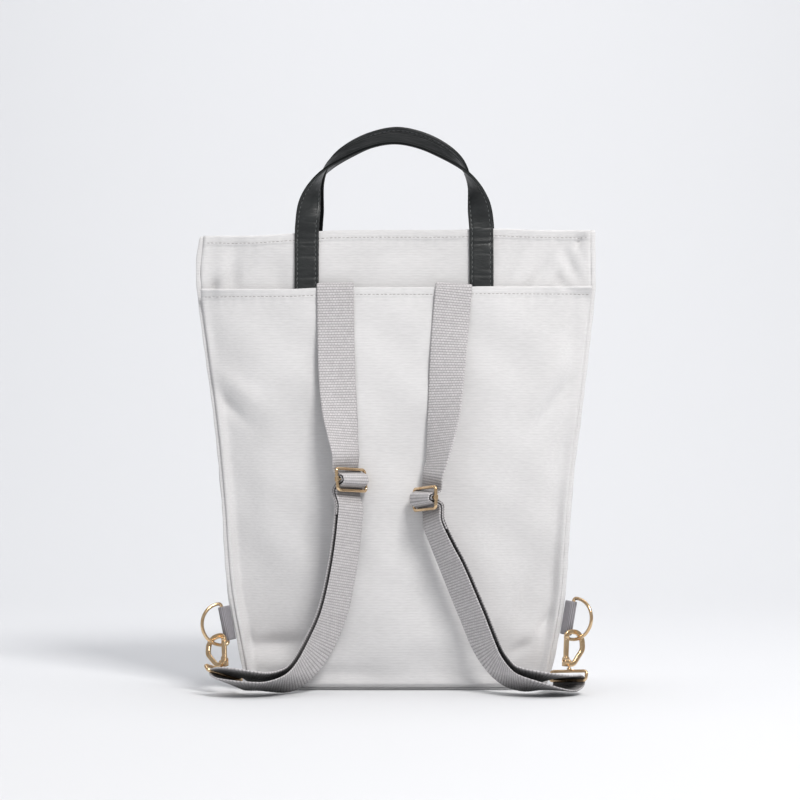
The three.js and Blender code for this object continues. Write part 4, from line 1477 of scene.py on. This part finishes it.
@dataclass(frozen=True)
class LeatherHandle:
    """A flat leather handle with rounded edges and a row of stitches along each edge."""

    node: str
    leather: bpy.types.Material
    thread: bpy.types.Material
    edge: float = 1.3 * MM
    stitch_inset: float = 3.1 * MM
    stitch_pitch: float = 4.8 * MM
    stitch_length: float = 3 * MM
    stitch_radius: float = 0.34 * MM
    groove: float = 0.35 * MM
    groove_spread: float = 0.7 * MM
    crease_depth: float = 0.5 * MM
    crease_spread: float = 1.2 * MM
    swell: float = 0.12 * MM
    lead: float = 26 * MM
    crease_places: tuple[float, ...] = (0.024, 0.047, 0.0575, 0.061, 0.0645, 0.082)

    def dress(self) -> None:
        """Builds the handle in place of its CAD node, and sews it."""
        ribbon = Ribbon(self.node, 1.0 * MM, self.lead)
        profile = flat_profile(ribbon.width, ribbon.thickness, self.edge, 30)
        from_edge = ribbon.width / 2 - np.abs(profile[None, :, 0])
        groove = bell(from_edge - self.stitch_inset, self.groove_spread)
        crease = np.zeros((len(ribbon.at), len(profile)))
        rng = np.random.default_rng(SEED)
        for leg in self.crease_places:
            for place in (leg, ribbon.length - leg):
                bend = place + rng.uniform(-1, 1) * MM + 0.05 * rng.uniform(-1, 1) * profile[None, :, 0]
                crease += rng.uniform(0.5, 1) * bell(ribbon.at[:, None] - bend, self.crease_spread)
        swell = self.swell * np.sin(ribbon.at[:, None] / (19 * MM) + profile[None, :, 0] / (9 * MM))
        relief = swell - self.groove * groove - self.crease_depth * crease
        skin = ribbon.skin(profile, relief)
        add_piece(self.node, "leather", skin, self.leather)
        outwards = ribbon.facing_away() * (ribbon.thickness / 2 - 0.12 * MM)
        away = ribbon.width / 2 - self.stitch_inset
        lines = [ribbon.line(side * away, outwards)[4:-4] for side in (-1, 1)]
        row = Stitches(
            f"{self.node}_stitches",
            self.thread,
            Slot.LEATHER,
            self.stitch_pitch,
            self.stitch_length,
            self.stitch_radius,
        )
        row.sew(lines)


def round_wire(path: np.ndarray, radius: float, closed: bool, sides: int = 20) -> Shape:
    """A round wire along a path in the XZ plane.

    Args:
        path: The middle line's points.
        radius: The wire's radius.
        closed: Whether the path ends where it starts.
        sides: How many sides the wire has.

    Returns:
        The wire.
    """
    turn = np.linspace(0, 2 * math.pi, sides, endpoint=False)
    profile = np.stack([np.cos(turn) * radius, np.sin(turn) * radius], axis=1)
    return sweep(path, profile, closed)


def sweep(path: np.ndarray, profile: np.ndarray, closed: bool) -> Shape:
    """Sweeps a profile along a path in the XZ plane.

    Args:
        path: The middle line's points.
        profile: The profile's points, as sideways and depth.
        closed: Whether the path ends where it starts.

    Returns:
        The bar.
    """
    if closed:
        along = np.roll(path, -1, axis=0) - np.roll(path, 1, axis=0)
    else:
        along = np.gradient(path, axis=0)
    sideways = unit(np.stack([along[:, 2], 0 * along[:, 0], -along[:, 0]], axis=1))
    depth = np.array([0.0, 1.0, 0.0])
    rings = path[:, None] + sideways[:, None] * profile[None, :, :1] + depth * profile[None, :, 1:]
    return loft(rings, closed)


def soft_corners(points: np.ndarray, radius: float, steps: int) -> np.ndarray:
    """Rounds a path's corners.

    Args:
        points: The path's corners.
        radius: How far from a corner its curve starts.
        steps: How many points each curve has.

    Returns:
        The rounded path.
    """
    made = [points[0]]
    for before, point, after in zip(points[:-2], points[1:-1], points[2:]):
        start = point + (before - point) * min(radius / np.linalg.norm(before - point), 0.47)
        end = point + (after - point) * min(radius / np.linalg.norm(after - point), 0.47)
        for s in np.linspace(0, 1, steps):
            made.append((1 - s) ** 2 * start + 2 * s * (1 - s) * point + s * s * end)
    made.append(points[-1])
    return np.array(made)


def round_outline(
    half_width: float, half_height: float, radius: float, steps: int, ease: float = 0.0
) -> np.ndarray:
    """Draws a rectangle with round corners.

    Args:
        half_width: Half its width.
        half_height: Half its height.
        radius: The corners' radius.
        steps: How many points each corner has.
        ease: How many degrees a corner leaves out at each of its ends.

    Returns:
        The outline's points, as pairs.
    """
    points = []
    for start, (a, b) in zip((0, 90, 180, 270), ((1, 1), (-1, 1), (-1, -1), (1, -1))):
        for angle in np.radians(np.linspace(start + ease, start + 90 - ease, steps)):
            points.append([
                a * (half_width - radius) + radius * math.cos(angle),
                b * (half_height - radius) + radius * math.sin(angle),
            ])
    return np.array(points)


def round_rectangle(half_width: float, half_height: float, radius: float) -> np.ndarray:
    """The middle line of a rectangle with round corners in the XZ plane."""
    return np.insert(round_outline(half_width, half_height, radius, 8), 1, 0, axis=1)


def bevelled(width: float, depth: float, cut: float) -> np.ndarray:
    """A bar's profile with cut and eased corners, as sideways and depth."""
    return round_outline(width / 2, depth / 2, cut, 5, 6)


def turned(radii: list[float], heights: list[float], sides: int = 24) -> Shape:
    """Turns a round part about the Y axis.

    Args:
        radii: Its radii.
        heights: Where they stand along Y.
        sides: How many sides it has.

    Returns:
        The part.
    """
    turn = np.linspace(0, 2 * math.pi, sides, endpoint=False)
    rings = [
        np.column_stack([r * np.cos(turn), np.full(sides, y), r * np.sin(turn)])
        for r, y in zip(radii, heights)
    ]
    return loft(np.array(rings))


def ball(radius: float, centre: tuple[float, float, float]) -> Shape:
    """Turns a ball.

    Args:
        radius: Its radius.
        centre: Its centre.

    Returns:
        The ball.
    """
    angles = np.radians(np.linspace(-86, 86, 13))
    shape = turned([radius * math.cos(a) for a in angles], [radius * math.sin(a) for a in angles])
    return shape.moved(*centre)


@dataclass(frozen=True)
class Hanging:
    """Where a metal part hangs: its origin and the axes of its own frame as rows."""

    origin: np.ndarray
    axes: np.ndarray

    def place(self, shape: Shape) -> Shape:
        """Moves a shape from its own frame to the shared one."""
        return Shape(shape.points @ self.axes + self.origin, shape.faces)

    @staticmethod
    def of_plane(node: str, up: np.ndarray, outwards: np.ndarray) -> tuple[Hanging, np.ndarray, np.ndarray]:
        """Finds a flat part's frame from its points.

        Args:
            node: The CAD node.
            up: Roughly the way of the frame's Z.
            outwards: Roughly the way of the frame's X.

        Returns:
            The frame at the middle of the part's extents, and its lowest and highest local corner.
        """
        points = NodeShape(node).points
        values, ways = np.linalg.eigh(np.cov((points - points.mean(axis=0)).T))
        flat = [ways[:, i] for i in np.argsort(values)[::-1][:2]]
        z = max(flat, key=lambda way: abs(float(way @ up)))
        x = min(flat, key=lambda way: abs(float(way @ up)))
        z, x = z * np.sign(z @ up), x * np.sign(x @ outwards)
        axes = np.stack([x, np.cross(z, x), z])
        local = points @ axes.T
        low, high = local.min(axis=0), local.max(axis=0)
        middle = (low + high) / 2
        return Hanging(middle @ axes, axes), low - middle, high - middle


@dataclass(frozen=True)
class Slider:
    """A strap slider: a wire frame round the strap and its loose middle bar with a collar at each side."""

    side: Side
    brass: bpy.types.Material
    wire: float = 3.2 * MM
    bar: float = 3 * MM
    collar: float = 4.8 * MM
    collar_steps: tuple[float, ...] = (-2.1, -1.9, -1.2, 1.2, 1.9, 2.1)

    def dress(self) -> None:
        """Builds the frame and the bar in place of their CAD nodes."""
        name = f"slider_frame_{self.side.label}"
        hanging, _, high = Hanging.of_plane(name, UP, self.side.outwards)
        half_width, half_height = high[0] - self.wire / 2, high[2] - self.wire / 2
        loop = round_wire(round_rectangle(half_width, half_height, self.wire), self.wire / 2, True)
        add_piece(name, "wire", hanging.place(loop), self.brass)
        reach = half_width - self.wire / 2 - 0.1 * MM
        line = np.array([[share * reach, 0, 0] for share in (-1, -0.5, 0.5, 1)])
        parts = [round_wire(line, self.bar / 2, False)]
        for way in (-1, 1):
            x = way * half_width
            sleeve = np.array([[x, 0, z * MM] for z in self.collar_steps])
            parts.append(round_wire(sleeve, self.collar / 2, False))
        bar_name = f"slider_bar_{self.side.label}"
        add_piece(bar_name, "rod", hanging.place(join(parts)), self.brass)


@dataclass(frozen=True)
class DRing:
    """A wire D-ring: a straight bar in the loop and a half round outside it."""

    side: Side
    brass: bpy.types.Material
    wire: float = 3.4 * MM
    radius: float = 20.5 * MM
    straight: float = 4 * MM
    corner: float = 3 * MM

    def dress(self) -> None:
        """Builds the ring in place of its CAD node."""
        name = f"d_ring_{self.side.label}"
        hanging, low, _ = Hanging.of_plane(name, UP, self.side.outwards)
        start = low[0] + self.wire / 2
        path = []
        for angle in np.radians(np.linspace(90, -90, 33)):
            path.append([self.straight + self.radius * math.cos(angle), 0, self.radius * math.sin(angle)])
        for first, way in ((-90, -1), (180, 1)):
            for angle in np.radians(np.linspace(first, first - 90, 6)):
                z = way * (self.radius - self.corner) + self.corner * math.sin(angle)
                path.append([self.corner + self.corner * math.cos(angle), 0, z])
        line = np.array(path) + np.array([start, 0, 0])
        ring = hanging.place(round_wire(line, self.wire / 2, True))
        add_piece(name, "wire", ring, self.brass)


@dataclass(frozen=True)
class SnapHook:
    """A swivelling snap hook: a cast body of flat bars, a sprung gate on a pin and an eye for the strap."""

    side: Side
    brass: bpy.types.Material
    width: float = 19 * MM
    height: float = 37 * MM
    wire: float = 4.7 * MM
    depth: float = 3.9 * MM
    gate_width: float = 4.9 * MM
    gate_depth: float = 3.4 * MM
    gap: float = 0.35 * MM
    cheek: float = 1.2 * MM
    head: float = 4.6 * MM
    eye_wire: float = 3.2 * MM
    eye_drop: float = 2 * MM
    bend: float = 3.6 * MM
    pin: float = 2 * MM
    pivot: tuple[float, float] = (-0.23, 0.195)
    nose_end: float = 0.735
    spine: tuple[tuple[float, float], ...] = (
        (-0.33, 0.055), (0.22, 0.055), (0.79, 0.49), (0.74, 0.77),
        (0.45, 0.94), (-0.02, 0.94), (-0.23, 0.86), (-0.23, 0.735),
    )

    def gate_frame(self) -> Hanging:
        """Finds the gate's frame.

        Returns:
            The frame, with its origin on the pin and its Z along the closed gate.
        """
        joint = next(j for j in frame["joints"] if j["name"] == f"gate_{self.side.label}_swing")
        pin, y = np.array(joint["pos_m"], float), unit(np.array(joint["axis"], float))
        points = NodeShape(f"hook_gate_{self.side.label}").points
        far = np.linalg.norm(points - pin, axis=1)
        z = points[far > far.max() - 1.2 * MM].mean(axis=0) - pin
        z = unit(z - y * (z @ y))
        return Hanging(pin, np.stack([np.cross(y, z), y, z]))

    def body(self) -> Shape:
        """Builds the body: bent spine, foot, cheeks, pin and the swivel's head.

        Returns:
            The body in its own frame.
        """
        path = np.array([[out * self.width, 0, up * self.height] for out, up in self.spine])
        bar = sweep(soft_corners(path, self.bend, 7), bevelled(self.wire, self.depth, 0.9 * MM), False)
        x, z = self.pivot[0] * self.width, self.pivot[1] * self.height
        inner = self.gate_depth / 2 + self.gap
        foot_depth = 2 * (inner + self.cheek)
        top = z - self.gate_width / 2 - self.gap
        foot = sweep(
            np.array([[x, 0, h * top] for h in (0, 0.1, 0.9, 1)]),
            bevelled(self.gate_width, foot_depth, 0.8 * MM),
            False,
        )
        parts = [bar, foot]
        for way in (-1, 1):
            y = way * (inner + self.cheek / 2)
            plate = sweep(
                np.array([[x, 0, h] for h in (0, 0.5 * z, z)]),
                bevelled(self.gate_width, self.cheek, 0.3 * MM),
                False,
            )
            r, c = self.gate_width / 2, self.cheek / 2
            boss = turned([r - 0.3 * MM, r, r, r - 0.3 * MM], [y - c, y - c * 0.6, y + c * 0.6, y + c])
            parts += [plate.moved(0, y, 0), boss.moved(x, 0, z)]
        ease, r = 0.1 * MM, self.pin / 2
        reach = inner + self.cheek - ease
        pin = turned([r - ease, r, r, r - ease], [-reach, -reach + ease, reach - ease, reach])
        return join([*parts, pin.moved(x, 0, z), ball(self.head / 2, (0, 0, self.wire))])

    def gate(self) -> Shape:
        """Builds the gate: a bevelled lever with a round knuckle.

        Returns:
            The gate in its own frame.
        """
        length = (self.nose_end - self.pivot[1]) * self.height - self.gap
        path = np.array([[0, 0, h * length] for h in (0, 0.04, 0.5, 0.96, 1)])
        lever = sweep(path, bevelled(self.gate_width, self.gate_depth, 0.8 * MM), False)
        r, d = self.gate_width / 2, self.gate_depth / 2
        return join([lever, turned([r - 0.2 * MM, r, r, r - 0.2 * MM], [-d, -0.8 * d, 0.8 * d, d])])

    def eye(self) -> tuple[Hanging, Shape]:
        """Builds the swivel eye: a wire loop under a ball.

        Returns:
            The eye's frame, and the eye in it.
        """
        name = f"swivel_eye_{self.side.label}"
        gate = self.gate_frame()
        eye, low, high = Hanging.of_plane(name, gate.axes[2], np.array([-float(self.side.value), 1.0, 0]))
        centre = high[2] - self.head / 2
        half_width = high[0] - self.eye_wire / 2
        bottom, top = low[2] + self.eye_wire / 2, centre - self.eye_drop
        line = round_rectangle(half_width, (top - bottom) / 2, self.eye_wire)
        loop = round_wire(line, self.eye_wire / 2, True)
        return eye, join([loop.moved(0, 0, (top + bottom) / 2), ball(self.head / 2, (0, 0, centre))])

    def dress(self) -> None:
        """Builds the body, the gate and the eye in place of their CAD nodes."""
        side = self.side.label
        gate = self.gate_frame()
        offset = np.array([self.pivot[0] * self.width, 0, self.pivot[1] * self.height])
        hook = Hanging(gate.origin - offset @ gate.axes, gate.axes)
        eye, wire = self.eye()
        for node, end, shape, body in (
            (f"hook_body_{side}", "cast", hook.place(self.body()), "pack"),
            (f"hook_gate_{side}", "lever", gate.place(self.gate()), f"gate_{side}"),
            (f"swivel_eye_{side}", "wire", eye.place(wire), "pack"),
        ):
            add_piece(node, end, shape, self.brass, body)


@dataclass(frozen=True)
class Studio:
    """The stage: a white paper sweep, soft lights and the camera at the photo's place."""

    camera_place: tuple[float, float, float] = (0.003, -2.402, 0.290)
    view_distance: float = 2.35
    view_width: float = 0.8
    sensor: float = 36.0
    floor: tuple[float, float] = (-4.0, 0.9)
    curve: float = 1.6
    wall_top: float = 5.0
    half_width: float = 5.0

    def sweep(self) -> None:
        """The paper: a floor that curves up behind the bag."""
        near, far = self.floor
        path = [[near, 0.0], [far, 0.0]]
        for angle in np.radians(np.linspace(-90, 0, 17)[1:]):
            path.append([far + self.curve * math.cos(angle), self.curve + self.curve * math.sin(angle)])
        path.append([far + self.curve, self.wall_top])
        points = [(x, y, z) for y, z in path for x in (-self.half_width, self.half_width)]
        faces = [(2 * i, 2 * i + 1, 2 * i + 3, 2 * i + 2) for i in range(len(path) - 1)]
        mesh = bpy.data.meshes.new("paper_sweep")
        mesh.from_pydata(points, [], faces)
        mesh.materials.append(PaperSweep().material())
        mesh.shade_smooth()
        obj = bpy.data.objects.new("paper_sweep", mesh)
        bpy.context.scene.collection.objects.link(obj)

    def light(self, name: str, place: Vector, aim: Vector, size: float, power: float, colour: str) -> None:
        """Adds a soft square light.

        Args:
            name: The light's name.
            place: Where it stands.
            aim: What it faces.
            size: Its side.
            power: Its power in watts.
            colour: Its sRGB hex colour.
        """
        data = bpy.data.lights.new(name, "AREA")
        data.shape, data.size, data.energy, data.color = "SQUARE", size, power, linear(colour)[:3]
        obj = bpy.data.objects.new(name, data)
        obj.location = place
        obj.rotation_euler = (aim - place).to_track_quat("-Z", "Y").to_euler()
        bpy.context.scene.collection.objects.link(obj)

    def build(self) -> None:
        """Sets the stage."""
        self.sweep()
        aim = Vector((0, 0, 0.28))
        self.light("key", Vector((0.95, -1.65, 2.25)), aim, 0.8, 58, "fffdfb")
        self.light("fill", Vector((-1.9, -2.2, 1.0)), aim, 1.8, 2.5, "f4f8ff")
        self.light("back", Vector((0.0, 0.7, 2.6)), Vector((0, 2.0, 0.6)), 2.2, 33, "fdfdff")
        world = bpy.data.worlds.new("Studio")
        bpy.context.scene.world = world
        world.use_nodes = True
        world.node_tree.nodes.clear()
        glow = {"Color": linear("f1f2f5"), "Strength": 0.445}
        sky = add_node(world.node_tree, "ShaderNodeBackground", None, glow)
        add_node(world.node_tree, "ShaderNodeOutputWorld", None, {"Surface": sky.outputs[0]})
        data = bpy.data.cameras.new("camera")
        data.sensor_width = self.sensor
        data.lens = self.sensor * self.view_distance / self.view_width
        camera = bpy.data.objects.new("camera", data)
        camera.location = self.camera_place
        camera.rotation_euler = (math.pi / 2, 0, 0)
        bpy.context.scene.collection.objects.link(camera)
        bpy.context.scene.camera = camera
        bpy.context.scene.view_settings.view_transform = "Standard"


def main() -> None:
    """Builds every piece and the stage."""
    logging.basicConfig(level=logging.INFO, format="%(message)s")
    canvas, thread = CottonCanvas().material(), SewingThread().material()
    leather_thread = SewingThread("5e6161", "Waxed thread", 0.5).material()
    webbing, leather = CottonWebbing().material(), FullGrainLeather().material()
    brass = PolishedBrass().material()
    loop_webbing = CottonWebbing(
        dark="3a383e", pale="bab7bc", rib_pitch=1.5 * MM, warp_pitch=1.9 * MM, name="Fine cotton webbing"
    ).material()

    back = CanvasWall("back_panel", canvas, 1, -1, folds=FOLDS + MOUTH_FOLDS)
    pocket = CanvasWall("pocket_panel", canvas, 1, -1, folds=FOLDS, hem=2.6 * MM)
    front = CanvasWall("front_panel", canvas, 1, 1)
    for wall in (back, pocket, front):
        wall.dress()
    Stitches("top_hem_stitches", thread, Slot.CANVAS).sew([back.seam_line(), front.seam_line()])
    Stitches("pocket_hem_stitches", thread, Slot.CANVAS).sew([pocket.seam_line()])
    BasePanel(canvas).dress()
    for side in Side:
        CanvasWall(f"gusset_{side.label}", canvas, 0, side.value, hem=1.8 * MM, pucker=0.0).dress()
        for face in ("back", "front"):
            proud = FLAT_SEAM if side is Side.LEFT else RAISED_SEAM
            SideSeam(f"seam_{face}_{side.label}", canvas, depth=proud).dress()
        Webbing(f"shoulder_strap_{side.label}", webbing, sag=STRAP_SAG[side]).dress()
        Webbing(f"ring_loop_{side.label}", loop_webbing, rib_pitch=1.5 * MM, rib_depth=0.07 * MM).dress()
        Slider(side, brass).dress()
        DRing(side, brass).dress()
        SnapHook(side, brass).dress()
    for face in ("back", "front"):
        LeatherHandle(f"handle_{face}", leather, leather_thread).dress()
    Studio().build()


if __name__ == "__main__":
    main()
